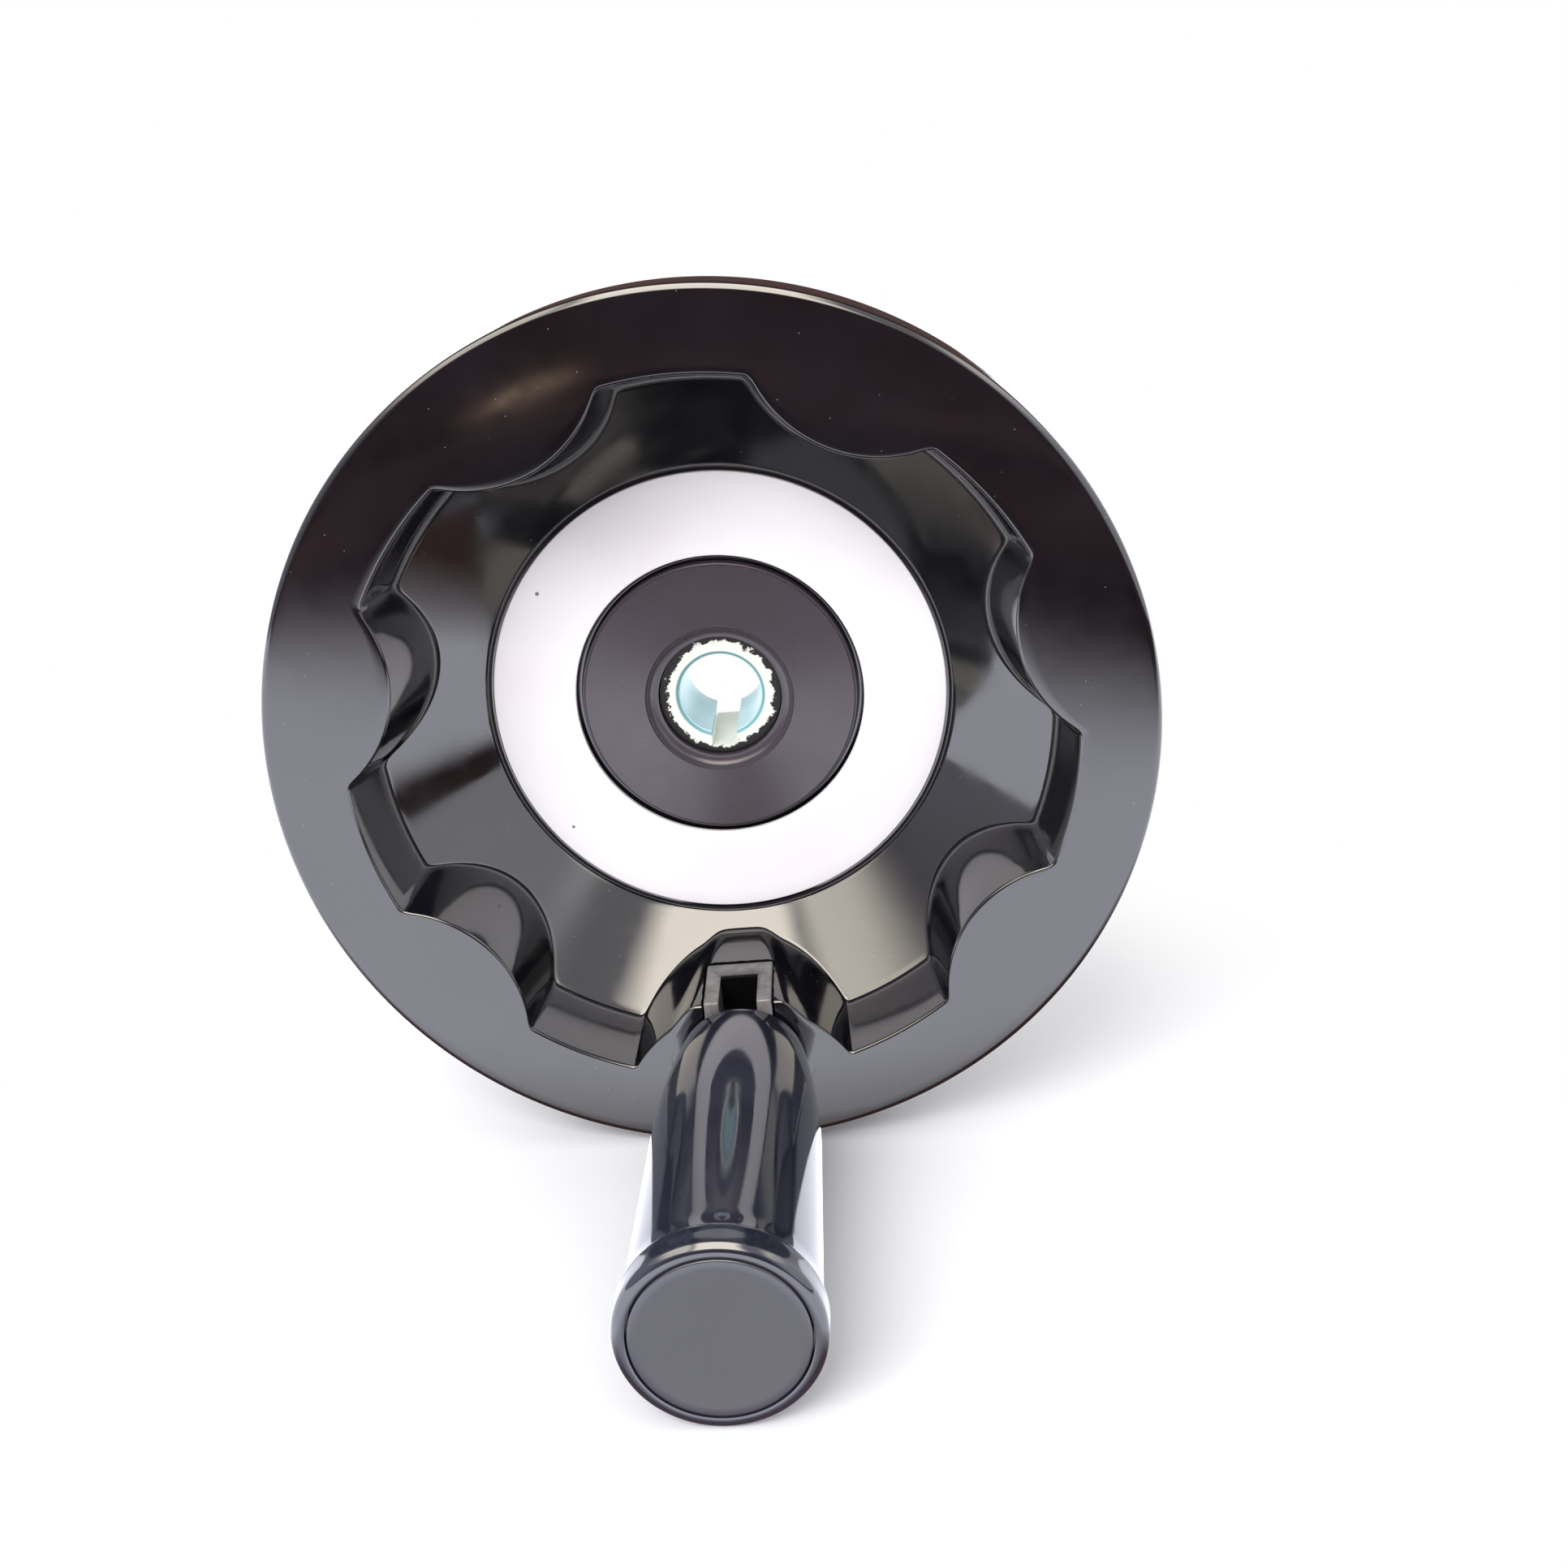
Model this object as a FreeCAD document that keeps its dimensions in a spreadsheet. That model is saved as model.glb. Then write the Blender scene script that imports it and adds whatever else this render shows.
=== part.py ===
import FreeCAD, Part
import os
import re
import Sketcher

# Machine handwheel with a fold-away revolving handle, in millimetres.
# Row frame: the bore runs along Y and the rim's face looks to -Y. The origin is the centre of the hub's
# back face. The handle stands at the bottom, on -Z, and points to -Y.

# Driving sizes, each with what it measures
SIZES = {
    # wheel body
    "wheel_dia": (160, "outside of the rim"),
    "body_depth": (55, "rim face to the hub's back face"),
    "rim_depth": (14, "straight outer side of the rim"),
    "rim_edge": (1.4, "round between rim face and outer side"),
    "rim_heel": (6, "round at the back of the rim"),
    "rim_crown": (0.7, "fall of the rim face at its outer edge"),
    "rim_share": (0.16625, "rim face's width to the wheel's radius"),
    "lobe_count": (7, "lobes of the wave, the handle's own among them"),
    "lobe_radius": (24, "radius of each lobe at the rim face"),
    "lobe_reach": (8.7, "how far a plain lobe comes in from the wave circle"),
    "wave_blend": (2.5, "round between a lobe and an outer arc"),
    "wave_edge": (0.4, "chamfer of the wave's edge at the rim face"),
    "wall_draft": (7, "draft of the wavy wall, degrees"),
    "wall_depth": (16.5, "rim face to the foot of the wall at an outer arc"),
    "web_share": (0.1925, "foot of the wall to the pit's upper edge, to the wheel's radius"),
    "pit_edge_depth": (24.8, "rim face to the pit's upper edge"),
    "pit_edge_round": (9, "round of the pit's upper edge"),
    "pit_wall_run": (3.1, "pit's upper edge to its floor, across the axis"),
    "pit_depth": (32.6, "rim face to the pit's floor"),
    "web_thick": (6.5, "wall of the web, behind its front face"),
    "plate_thick": (10, "plate between the pit's floor and its back"),
    "plate_out": (4, "plate's back beyond the pit's floor"),
    "hub_dia": (44, "hub behind the plate"),
    "hub_round": (2, "round at the foot of the hub"),
    # centre
    "ring_margin": (1.1, "foot of the pit's wall to the aluminium ring"),
    "ring_ratio": (0.6368, "aluminium ring's inside to its outside"),
    "ring_thick": (1, "aluminium ring"),
    "ring_sink": (0.4, "ring's seat below the pit's floor"),
    "ring_gap": (0.2, "play round the ring in its seat"),
    "moat_width": (1.5, "groove between ring seat and centre disc"),
    "moat_depth": (1.2, "that groove below the ring's seat"),
    "disc_edge_rise": (0.8, "centre disc's edge above the pit's floor"),
    "disc_rise": (1.4, "rise of the centre disc towards the bush"),
    "lip_width": (2, "rounded lip between centre disc and bush"),
    "bush_dia": (24, "steel bush, outside"),
    "bush_sink": (1.2, "bush face below the pit's floor"),
    "bore_dia": (16, "bore"),
    "bore_chamfer": (0.8, "chamfer at the front of the bore"),
    "key_width": (5, "keyway width"),
    "key_height": (18.3, "bore's far side to the keyway's floor"),
    # hinge
    "handle_inset": (4.1, "wave's outer arcs to the handle's axis"),
    "fork_reach": (12.5, "handle's axis to the fork's open front"),
    "fork_back": (8.4, "handle's axis to the fork's closed back"),
    "fork_width": (12.8, "fork across the slot"),
    "fork_depth": (17.5, "rim face to the fork's foot"),
    "fork_rise": (0.8, "fork's open front before the lobe"),
    "slot_width": (7.1, "slot of the fork"),
    "slot_depth": (10.4, "rim face to the slot's floor"),
    "pin_depth": (5.5, "rim face to the pin's axis"),
    "pin_dia": (4, "hinge pin"),
    "pin_fit": (0.04, "radial play of the tongue on the pin"),
    "seat_dia": (27, "seat of the grip in the rim face"),
    "seat_depth": (0.8, "that seat below the rim face"),
    "run_gap": (0.3, "free gap between parts that move past each other"),
    # spindle
    "spindle_dia": (9, "sliding part of the spindle"),
    "tongue_thick": (6.5, "flat tongue of the spindle"),
    "tongue_length": (14.4, "pin to the end of the flats"),
    "slide_end": (26, "rim face to the end of the sliding part"),
    "stem_dia": (6, "stem inside the spring"),
    "thread_out": (1.2, "stem's end beyond the nut"),
    "bar_chamfer": (0.8, "chamfer of the stem's end"),
    "cap_room": (22.4, "washer's seat to the grip's end"),
    "washer_dia": (13, "washer"),
    "washer_thick": (1.2, "washer"),
    "nut_width": (10, "nut across flats"),
    "nut_height": (4.6, "nut"),
    "wire_dia": (1.3, "spring wire"),
    "spring_dia": (11.4, "spring, middle of the wire"),
    "spring_turns": (9, "turns of the spring"),
    "spring_play": (0.05, "play at each end of the spring"),
    # sleeve
    "sleeve_dia": (14, "sleeve under the grip"),
    "sleeve_length": (22, "sleeve"),
    "collar_dia": (18, "flange at the sleeve's foot"),
    "collar_thick": (1.5, "that flange"),
    "slide_fit": (0.05, "radial play of a running fit"),
    "clip_dia": (17.2, "clip on the sleeve, outside"),
    "clip_thick": (1, "clip"),
    "clip_groove": (0.6, "depth of the clip's groove"),
    "clip_from_end": (1.2, "clip to the sleeve's end"),
    "clip_mouth": (3, "opening of the clip"),
    # grip
    "grip_length": (82.4, "rim face to the grip's end"),
    "base_dia": (25.8, "grip at its base"),
    "base_round": (3.8, "round of the base"),
    "belly_dia": (28.8, "grip where the belly's arc ends"),
    "belly_end": (30, "rim face to the end of the belly's arc"),
    "belly_radius": (70, "radius of the belly's arc"),
    "neck_dia": (22.6, "neck"),
    "neck_from_end": (17.4, "neck to the grip's end"),
    "flange_dia": (32.2, "flange at the grip's end"),
    "flange_thick": (6.4, "flange with its rounds"),
    "flange_round": (1.5, "rounds of the flange"),
    "flare_radius": (13, "hollow between neck and flange"),
    "chamber_dia": (18.4, "spring chamber in the grip"),
    "cap_dia": (27.4, "end cap"),
    "cap_thick": (3, "end cap's disc"),
    "cap_gap": (0.2, "groove round the end cap"),
    "spigot_length": (5, "spigot of the end cap"),
    "spigot_wall": (1.6, "wall of that spigot"),
    "cap_edge": (0.4, "chamfer of the cap's edge"),
}

doc = FreeCAD.newDocument("handwheel")
sheet = doc.addObject("Spreadsheet::Sheet", "Sizes")
for row, (alias, (value, what)) in enumerate(SIZES.items(), start=1):
    sheet.set(f"A{row}", what)
    sheet.set(f"B{row}", str(value))
    sheet.setAlias(f"B{row}", alias)
doc.recompute()

# Places worked out from the driving sizes, as expressions of the sheet's aliases.
# In the wheel's own frame z runs from the hub's back face to the front, in the handle's from the rim face.
RIM = "wheel_dia / 2"
LEAN = "tan(wall_draft * 1 deg)"
WAVE = f"({RIM} * (1 - rim_share))"
PIT_FLOOR = "(body_depth - pit_depth)"
RING_SEAT = f"({PIT_FLOOR} - ring_sink)"
PLATE_BACK = f"({PIT_FLOOR} - plate_thick)"
BUSH_TOP = f"({PIT_FLOOR} - bush_sink)"
WALL_FOOT = f"({WAVE} - {LEAN} * wall_depth)"
WEB_RUN = f"({RIM} * web_share)"
PIT = f"({WALL_FOOT} - {WEB_RUN})"
FLOOR_EDGE = f"({PIT} - pit_wall_run)"
LIP = "(bush_dia / 2 + lip_width)"
RING_OUTER = f"({FLOOR_EDGE} - ring_margin)"
RING_INNER = f"({RING_OUTER} * ring_ratio)"
DISC = f"({RING_INNER} - moat_width)"
DISC_EDGE = f"({PIT_FLOOR} + disc_edge_rise)"
DISC_TOP = f"({DISC_EDGE} + disc_rise)"
GRIP_AT = f"({WAVE} - handle_inset)"
LOBE_AT = f"({WAVE} - lobe_reach + lobe_radius)"
FORK_FRONT = f"({GRIP_AT} - fork_reach)"
HANDLE_LOBE_AT = f"({FORK_FRONT} + fork_rise + lobe_radius)"
GRIP_BASE = "(run_gap - seat_depth)"
SLEEVE_END = f"({GRIP_BASE} + sleeve_length)"
CLIP_TOP = f"({SLEEVE_END} - clip_from_end)"
JOURNAL_END = f"({CLIP_TOP} - clip_thick - slide_fit)"
CAP_SEAT = "(grip_length - cap_thick)"
WEB_SLOPE = f"((pit_edge_depth - wall_depth) / {WEB_RUN})"
WEB_DROP = f"(web_thick * sqrt(1 + {WEB_SLOPE} ^ 2))"
BACK_EDGE = f"({PIT} + web_thick)"
HEEL = "(body_depth - rim_depth - rim_heel)"
SPRING_SEAT = "(grip_length - cap_room)"
WASHER_TOP = f"({SPRING_SEAT} + washer_thick)"
STEM_END = f"({WASHER_TOP} + nut_height + thread_out)"
NECK_AT = "(grip_length - neck_from_end)"
WIRE_AT = f"({SLEEVE_END} + wire_dia / 2 + spring_play)"
CROWN_TOP = f"({WAVE} - lobe_reach - 2)"
CROWN_END = f"({RIM} - rim_edge)"
CROWN_RADIUS = f"((({CROWN_END} - {CROWN_TOP}) ^ 2 + rim_crown ^ 2) / (2 * rim_crown))"


def cells(text):
    """Points every alias in an expression at the sheet."""
    return re.sub(r"[a-z_]+", lambda word: "Sizes." + word[0] if word[0] in SIZES else word[0], text)


def size(text):
    """Present value of an expression."""
    value = sheet.evalExpression(cells(text))
    return getattr(value, "Value", value)


def body(name):
    made = doc.addObject("PartDesign::Body", name)
    made.Label = name
    return made


def plane(owner, role):
    return next(part for part in owner.Origin.OriginFeatures if part.Role == role)


def sketch_on(owner, name, role, offset=None):
    """Sketch on one of the body's own planes, moved along its normal by an expression."""
    made = owner.newObject("Sketcher::SketchObject", name)
    made.AttachmentSupport = [(plane(owner, role), "")]
    made.MapMode = "FlatFace"
    if offset:
        made.setExpression("AttachmentOffset.Base.z", cells(offset))
    return made


def hold(sketch, kind, geometry, text):
    """Dimension bound to an expression."""
    index = sketch.addConstraint(Sketcher.Constraint(kind, *geometry, size(text)))
    sketch.setExpression(f"Constraints[{index}]", cells(text))


def arc_between(start, end, radius, side):
    """Arc from start to end, drawn anticlockwise. Its centre lies left of the way for side 1, else right."""
    middle = (start + end) / 2
    way = end - start
    left = FreeCAD.Vector(-way.y, way.x, 0).normalize()
    centre = middle + left * side * max(radius ** 2 - (way.Length / 2) ** 2, 0) ** 0.5
    along = middle - centre
    if along.Length < 1e-6:
        along = left * -side
    top = centre + along.normalize() * radius
    return Part.Arc(start, top, end) if side > 0 else Part.Arc(end, top, start)


def outline(sketch, steps):
    """Closed outline. A step is (x, y) for a line to there, or (x, y, radius, side) for an arc."""
    points = [FreeCAD.Vector(size(step[0]), size(step[1]), 0) for step in steps]
    count = len(steps)
    for index, step in enumerate(steps):
        start, end = points[index - 1], points[index]
        if len(step) == 2:
            sketch.addGeometry(Part.LineSegment(start, end), False)
        else:
            sketch.addGeometry(arc_between(start, end, size(step[2]), step[3]), False)
    ends = [(2, 1) if len(step) == 4 and step[3] < 0 else (1, 2) for step in steps]
    for index, step in enumerate(steps):
        following = (index + 1) % count
        joint = (index, ends[index][1], following, ends[following][0])
        sketch.addConstraint(Sketcher.Constraint("Coincident", *joint))
    for index, step in enumerate(steps):
        hold(sketch, "DistanceX", (-1, 1, index, ends[index][1]), step[0])
        hold(sketch, "DistanceY", (-1, 1, index, ends[index][1]), step[1])
        if len(step) == 4:
            hold(sketch, "Radius", (index,), step[2])


def turned(owner, name, steps, kind="PartDesign::Revolution", role="XZ_Plane"):
    """Solid or cut of revolution about Z from an outline in (radius, height)."""
    section = sketch_on(owner, name + "Section", role)
    outline(section, steps)
    made = owner.newObject(kind, name)
    made.Profile = section
    made.ReferenceAxis = (section, ["V_Axis"])
    made.Angle = 360
    return made


def swept(owner, name, section, kind, length, reverse=False, both=False):
    """Pad or pocket of a sketch over a bound length."""
    made = owner.newObject(kind, name)
    made.Profile = section
    made.setExpression("Length", cells(length))
    made.Reversed = reverse
    if both:
        made.SideType = "Symmetric"
    return made


def circle(sketch, x, y, radius):
    """Circle at a bound place, with a bound radius."""
    centre = FreeCAD.Vector(size(x), size(y), 0)
    index = sketch.addGeometry(Part.Circle(centre, FreeCAD.Vector(0, 0, 1), size(radius)))
    hold(sketch, "DistanceX", (-1, 1, index, 3), x)
    hold(sketch, "DistanceY", (-1, 1, index, 3), y)
    hold(sketch, "Radius", (index,), radius)


def block(sketch, x, low, high):
    """Rectangle from -x to x and from low to high."""
    outline(sketch, [(f"-({x})", low), (x, low), (x, high), (f"-({x})", high)])


def rounded(owner, name, radius, wanted, chamfer=False):
    """Fillet, or chamfer, of the tip's edges that the test picks."""
    doc.recompute()
    base = owner.Tip
    picked = [f"Edge{n}" for n, edge in enumerate(base.Shape.Edges, start=1) if wanted(edge)]
    made = owner.newObject("PartDesign::Chamfer" if chamfer else "PartDesign::Fillet", name)
    made.Base = (base, picked)
    made.setExpression("Size" if chamfer else "Radius", cells(radius))
    return made


def placed(part, depth="0", below="0"):
    """Turns a part made along Z so that it looks to -Y, and moves it to the front and down."""
    part.Placement = FreeCAD.Placement(FreeCAD.Vector(), FreeCAD.Rotation(FreeCAD.Vector(1, 0, 0), 90))
    part.setExpression("Placement.Base.y", cells(f"-({depth})"))
    part.setExpression("Placement.Base.z", cells(f"-({below})"))
    doc.recompute()


def on_handle_axis(part):
    """Puts a part made along its own Z on the handle's axis, counted from the rim face."""
    placed(part, "body_depth", GRIP_AT)


# Core of the mould that leaves the recess: a turned form with the lobes cut out of it.
# Its section stands at the handle's lobe, so that the seam falls into that lobe.
core = body("recess_core")
turned(core, "CoreForm", [
    ("0", PIT_FLOOR),
    (f"-{FLOOR_EDGE}", PIT_FLOOR),
    (f"-{PIT}", "body_depth - pit_edge_depth"),
    (f"-{WALL_FOOT}", "body_depth - wall_depth"),
    (f"-({WAVE} + {LEAN} * rim_depth)", "body_depth + rim_depth"),
    ("0", "body_depth + rim_depth"),
], role="YZ_Plane")
rounded(core, "PitEdge", "pit_edge_round",
        lambda edge: abs(edge.CenterOfMass.z - size("body_depth - pit_edge_depth")) < 0.01)
doc.recompute()


def lobe(name, at, angle):
    """Tapered lobe, cut from the rim face down to the pit's floor."""
    made = core.newObject("PartDesign::SubtractiveCone", name)
    made.setExpression("Radius1", cells(f"lobe_radius + {LEAN} * pit_depth"))
    made.setExpression("Radius2", cells(f"lobe_radius - {LEAN} * (rim_depth + 1)"))
    made.setExpression("Height", cells("pit_depth + rim_depth + 1"))
    made.AttachmentSupport = [(plane(core, "XY_Plane"), "")]
    made.MapMode = "FlatFace"
    made.setExpression("AttachmentOffset.Base.x", cells(f"{at} * cos({angle})"))
    made.setExpression("AttachmentOffset.Base.y", cells(f"{at} * sin({angle})"))
    made.setExpression("AttachmentOffset.Base.z", cells(PIT_FLOOR))
    doc.recompute()
    return made


plain_lobe = lobe("PlainLobe", LOBE_AT, "-90 deg + 360 deg / lobe_count")
lobes = core.newObject("PartDesign::PolarPattern", "PlainLobes")
lobes.Originals = [plain_lobe]
lobes.Axis = (plane(core, "Z_Axis"), [""])
lobes.setExpression("Occurrences", cells("lobe_count - 1"))
lobes.setExpression("Angle", cells("360 deg * (lobe_count - 2) / lobe_count"))
core.Tip = lobes
doc.recompute()
lobe("HandleLobe", HANDLE_LOBE_AT, "-90 deg")
rounded(core, "WaveCorners", "wave_blend",
        lambda edge: edge.BoundBox.ZMax > size("body_depth")
        and edge.BoundBox.ZMin < size("body_depth - wall_depth / 2"))
doc.recompute()

# Wheel body: turned blank less the core
wheel = body("wheel_body")
turned(wheel, "Blank", [
    ("0", "0"),
    ("hub_dia / 2", "0"),
    ("hub_dia / 2", PLATE_BACK),
    (f"{FLOOR_EDGE} + plate_out", PLATE_BACK),
    (BACK_EDGE, f"body_depth - pit_edge_depth + {WEB_SLOPE} * web_thick - {WEB_DROP}"),
    (f"{WALL_FOOT} - (rim_depth + rim_heel - wall_depth - {WEB_DROP}) / {WEB_SLOPE}", HEEL),
    (f"{RIM} - rim_heel", HEEL),
    (RIM, "body_depth - rim_depth", "rim_heel", 1),
    (RIM, "body_depth - rim_crown - rim_edge"),
    (CROWN_END, "body_depth - rim_crown", "rim_edge", 1),
    (CROWN_TOP, "body_depth", CROWN_RADIUS, 1),
    ("0", "body_depth"),
])
doc.recompute()
recess = wheel.newObject("PartDesign::Boolean", "Recess")
recess.Type = "Cut"
recess.setObjects([core])
rounded(wheel, "WaveEdge", "wave_edge",
        lambda edge: edge.BoundBox.ZMin > size("body_depth - rim_crown / 2")
        and edge.BoundBox.DiagonalLength < size(WAVE), chamfer=True)
doc.recompute()
rounded(wheel, "HubFoot", "hub_round",
        lambda edge: abs(edge.BoundBox.XMax - size("hub_dia / 2")) < 0.05
        and abs(edge.CenterOfMass.z - size(PLATE_BACK)) < 0.01)
doc.recompute()
turned(wheel, "CentreDisc", [
    ("0", f"{PIT_FLOOR} - plate_thick / 2"),
    (DISC, f"{PIT_FLOOR} - plate_thick / 2"),
    (DISC, DISC_EDGE),
    (LIP, DISC_TOP),
    ("0", DISC_TOP),
])
turned(wheel, "RingSeat", [
    (DISC, f"{RING_SEAT} - moat_depth"),
    (RING_INNER, f"{RING_SEAT} - moat_depth"),
    (RING_INNER, RING_SEAT),
    (f"{RING_OUTER} + ring_gap", RING_SEAT),
    (f"{RING_OUTER} + ring_gap", f"{PIT_FLOOR} + ring_thick"),
    (DISC, f"{PIT_FLOOR} + ring_thick"),
], "PartDesign::Groove")
turned(wheel, "BushSeat", [
    ("0", "-hub_round"),
    ("bush_dia / 2", "-hub_round"),
    ("bush_dia / 2", f"{DISC_TOP} - lip_width"),
    (LIP, DISC_TOP, "lip_width", -1),
    (LIP, "body_depth"),
    ("0", "body_depth"),
], "PartDesign::Groove")
doc.recompute()


def fork_side(owner, name, front, top):
    """Side of the fork on the plane through the handle's axis. Its front leans with the lobe's wall."""
    made = sketch_on(owner, name, "YZ_Plane")
    outline(made, [
        (f"-({GRIP_AT} + fork_back)", "body_depth - fork_depth"),
        (f"-({front} - {LEAN} * fork_depth)", "body_depth - fork_depth"),
        (f"-({front} - {LEAN} * ({top}))", f"body_depth - ({top})"),
        (f"-({GRIP_AT} + fork_back)", f"body_depth - ({top})"),
    ])
    return made


pocket_side = fork_side(wheel, "ForkPocketSide", f"({FORK_FRONT} - fork_rise)", "-seat_depth")
swept(wheel, "ForkPocket", pocket_side, "PartDesign::Pocket", "fork_width", both=True)
seat = sketch_on(wheel, "SeatCircle", "XY_Plane", "body_depth - seat_depth")
circle(seat, "0", f"-{GRIP_AT}", "seat_dia / 2")
swept(wheel, "GripSeat", seat, "PartDesign::Pocket", "seat_depth + rim_crown", reverse=True)
placed(wheel)

# Aluminium ring on the floor of the pit
ring = body("trim_ring")
turned(ring, "Ring", [
    (RING_INNER, RING_SEAT),
    (RING_OUTER, RING_SEAT),
    (RING_OUTER, f"{RING_SEAT} + ring_thick"),
    (RING_INNER, f"{RING_SEAT} + ring_thick"),
])
placed(ring)

# Steel bush with bore, chamfer and keyway
bush = body("hub_bush")
turned(bush, "Bush", [
    ("bore_dia / 2", "0"),
    ("bush_dia / 2", "0"),
    ("bush_dia / 2", BUSH_TOP),
    ("bore_dia / 2 + bore_chamfer", BUSH_TOP),
    ("bore_dia / 2", f"{BUSH_TOP} - bore_chamfer"),
])
key = sketch_on(bush, "Key", "XY_Plane")
block(key, "key_width / 2", "-(key_height - bore_dia / 2)", "0")
keyway = swept(bush, "Keyway", key, "PartDesign::Pocket", BUSH_TOP, reverse=True)
placed(bush)

# Hinge fork let into the handle's lobe
fork = body("hinge_fork")
fork_outline = fork_side(fork, "ForkSide", FORK_FRONT, "seat_depth")
swept(fork, "Fork", fork_outline, "PartDesign::Pad", "fork_width", both=True)
slot = sketch_on(fork, "SlotSide", "YZ_Plane")
outline(slot, [
    (f"-({GRIP_AT} + spindle_dia / 2 + run_gap)", "body_depth - slot_depth"),
    ("0", "body_depth - slot_depth"),
    ("0", "body_depth"),
    (f"-({GRIP_AT} + spindle_dia / 2 + run_gap)", "body_depth"),
])
swept(fork, "Slot", slot, "PartDesign::Pocket", "slot_width", both=True)
pin_hole = sketch_on(fork, "PinHole", "YZ_Plane")
circle(pin_hole, f"-{GRIP_AT}", "body_depth - pin_depth", "pin_dia / 2")
swept(fork, "CrossHole", pin_hole, "PartDesign::Pocket", "fork_width * 2", both=True)
placed(fork)

pin = body("hinge_pin")
pin_end = sketch_on(pin, "PinEnd", "YZ_Plane")
circle(pin_end, f"-{GRIP_AT}", "body_depth - pin_depth", "pin_dia / 2")
swept(pin, "Pin", pin_end, "PartDesign::Pad", "fork_width", both=True)
placed(pin)

# Spindle: a turned bar with a round foot, milled flat for the fork
spindle = body("spindle")
turned(spindle, "Bar", [
    ("0", "-pin_depth - spindle_dia / 2"),
    ("spindle_dia / 2", "-pin_depth", "spindle_dia / 2", 1),
    ("spindle_dia / 2", "slide_end"),
    ("stem_dia / 2", "slide_end"),
    ("stem_dia / 2", f"{STEM_END} - bar_chamfer"),
    ("stem_dia / 2 - bar_chamfer", STEM_END),
    ("0", STEM_END),
])
TONGUE_TOP = "(tongue_length - pin_depth)"
for side in ("", "-"):
    hand = "Minus" if side else "Plus"
    flat = sketch_on(spindle, "Flat" + hand, "XZ_Plane")
    outline(flat, [
        (f"{side}tongue_thick / 2", "-pin_depth - spindle_dia"),
        (f"{side}spindle_dia", "-pin_depth - spindle_dia"),
        (f"{side}spindle_dia", TONGUE_TOP),
        (f"{side}tongue_thick / 2", TONGUE_TOP),
    ])
    swept(spindle, "Mill" + hand, flat, "PartDesign::Pocket", "spindle_dia * 2", both=True)
    doc.recompute()
pivot = sketch_on(spindle, "PivotCircle", "YZ_Plane")
circle(pivot, "0", "-pin_depth", "pin_dia / 2 + pin_fit")
swept(spindle, "Pivot", pivot, "PartDesign::Pocket", "spindle_dia * 2", both=True)
on_handle_axis(spindle)

washer = body("spindle_washer")
turned(washer, "Washer", [
    ("stem_dia / 2", SPRING_SEAT),
    ("washer_dia / 2", SPRING_SEAT),
    ("washer_dia / 2", WASHER_TOP),
    ("stem_dia / 2", WASHER_TOP),
])
on_handle_axis(washer)

nut = body("spindle_nut")
hexagon = nut.newObject("PartDesign::AdditivePrism", "Hexagon")
hexagon.Polygon = 6
hexagon.setExpression("Circumradius", cells("nut_width / sqrt(3)"))
hexagon.setExpression("Height", cells("nut_height"))
hexagon.AttachmentSupport = [(plane(nut, "XY_Plane"), "")]
hexagon.MapMode = "FlatFace"
hexagon.setExpression("AttachmentOffset.Base.z", cells(WASHER_TOP))
doc.recompute()
thread = sketch_on(nut, "ThreadCircle", "XY_Plane", WASHER_TOP)
circle(thread, "0", "0", "stem_dia / 2")
swept(nut, "Thread", thread, "PartDesign::Pocket", "nut_height", reverse=True)
on_handle_axis(nut)

# Spring between the sleeve's end and the washer
spring = body("return_spring")
wire = sketch_on(spring, "WireSection", "XZ_Plane")
flats = [(1, 1), (-1, 1), (-1, -1), (1, -1)]
corners = []
for across, along in flats:
    wide = (f"{across} * wire_dia / 2", f"{along} * tan(22.5 deg) * wire_dia / 2")
    high = (f"{across} * tan(22.5 deg) * wire_dia / 2", f"{along} * wire_dia / 2")
    corners += [wide, high] if across == along else [high, wide]
outline(wire, [(f"spring_dia / 2 + {x}", f"{WIRE_AT} + {y}") for x, y in corners])
coil = spring.newObject("PartDesign::AdditiveHelix", "Coil")
coil.Profile = wire
coil.ReferenceAxis = (wire, ["V_Axis"])
coil.Mode = "height-turns-angle"
coil.setExpression("Height", cells(f"{SPRING_SEAT} - {SLEEVE_END} - wire_dia - 2 * spring_play"))
coil.setExpression("Turns", cells("spring_turns"))
on_handle_axis(spring)

# Sleeve that slides on the spindle, and its clip
sleeve = body("bearing_sleeve")
turned(sleeve, "Sleeve", [
    ("spindle_dia / 2 + slide_fit", GRIP_BASE),
    ("collar_dia / 2", GRIP_BASE),
    ("collar_dia / 2", f"{GRIP_BASE} + collar_thick"),
    ("sleeve_dia / 2", f"{GRIP_BASE} + collar_thick"),
    ("sleeve_dia / 2", f"{CLIP_TOP} - clip_thick"),
    ("sleeve_dia / 2 - clip_groove", f"{CLIP_TOP} - clip_thick"),
    ("sleeve_dia / 2 - clip_groove", CLIP_TOP),
    ("sleeve_dia / 2", CLIP_TOP),
    ("sleeve_dia / 2", SLEEVE_END),
    ("spindle_dia / 2 + slide_fit", SLEEVE_END),
])
on_handle_axis(sleeve)

clip = body("sleeve_clip")
turned(clip, "Clip", [
    ("sleeve_dia / 2 - clip_groove", f"{CLIP_TOP} - clip_thick"),
    ("clip_dia / 2", f"{CLIP_TOP} - clip_thick"),
    ("clip_dia / 2", CLIP_TOP),
    ("sleeve_dia / 2 - clip_groove", CLIP_TOP),
])
mouth = sketch_on(clip, "ClipMouth", "XY_Plane", f"{CLIP_TOP} - clip_thick")
block(mouth, "clip_mouth / 2", "0", "clip_dia")
swept(clip, "ClipOpening", mouth, "PartDesign::Pocket", "clip_thick", reverse=True)
on_handle_axis(clip)

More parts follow.
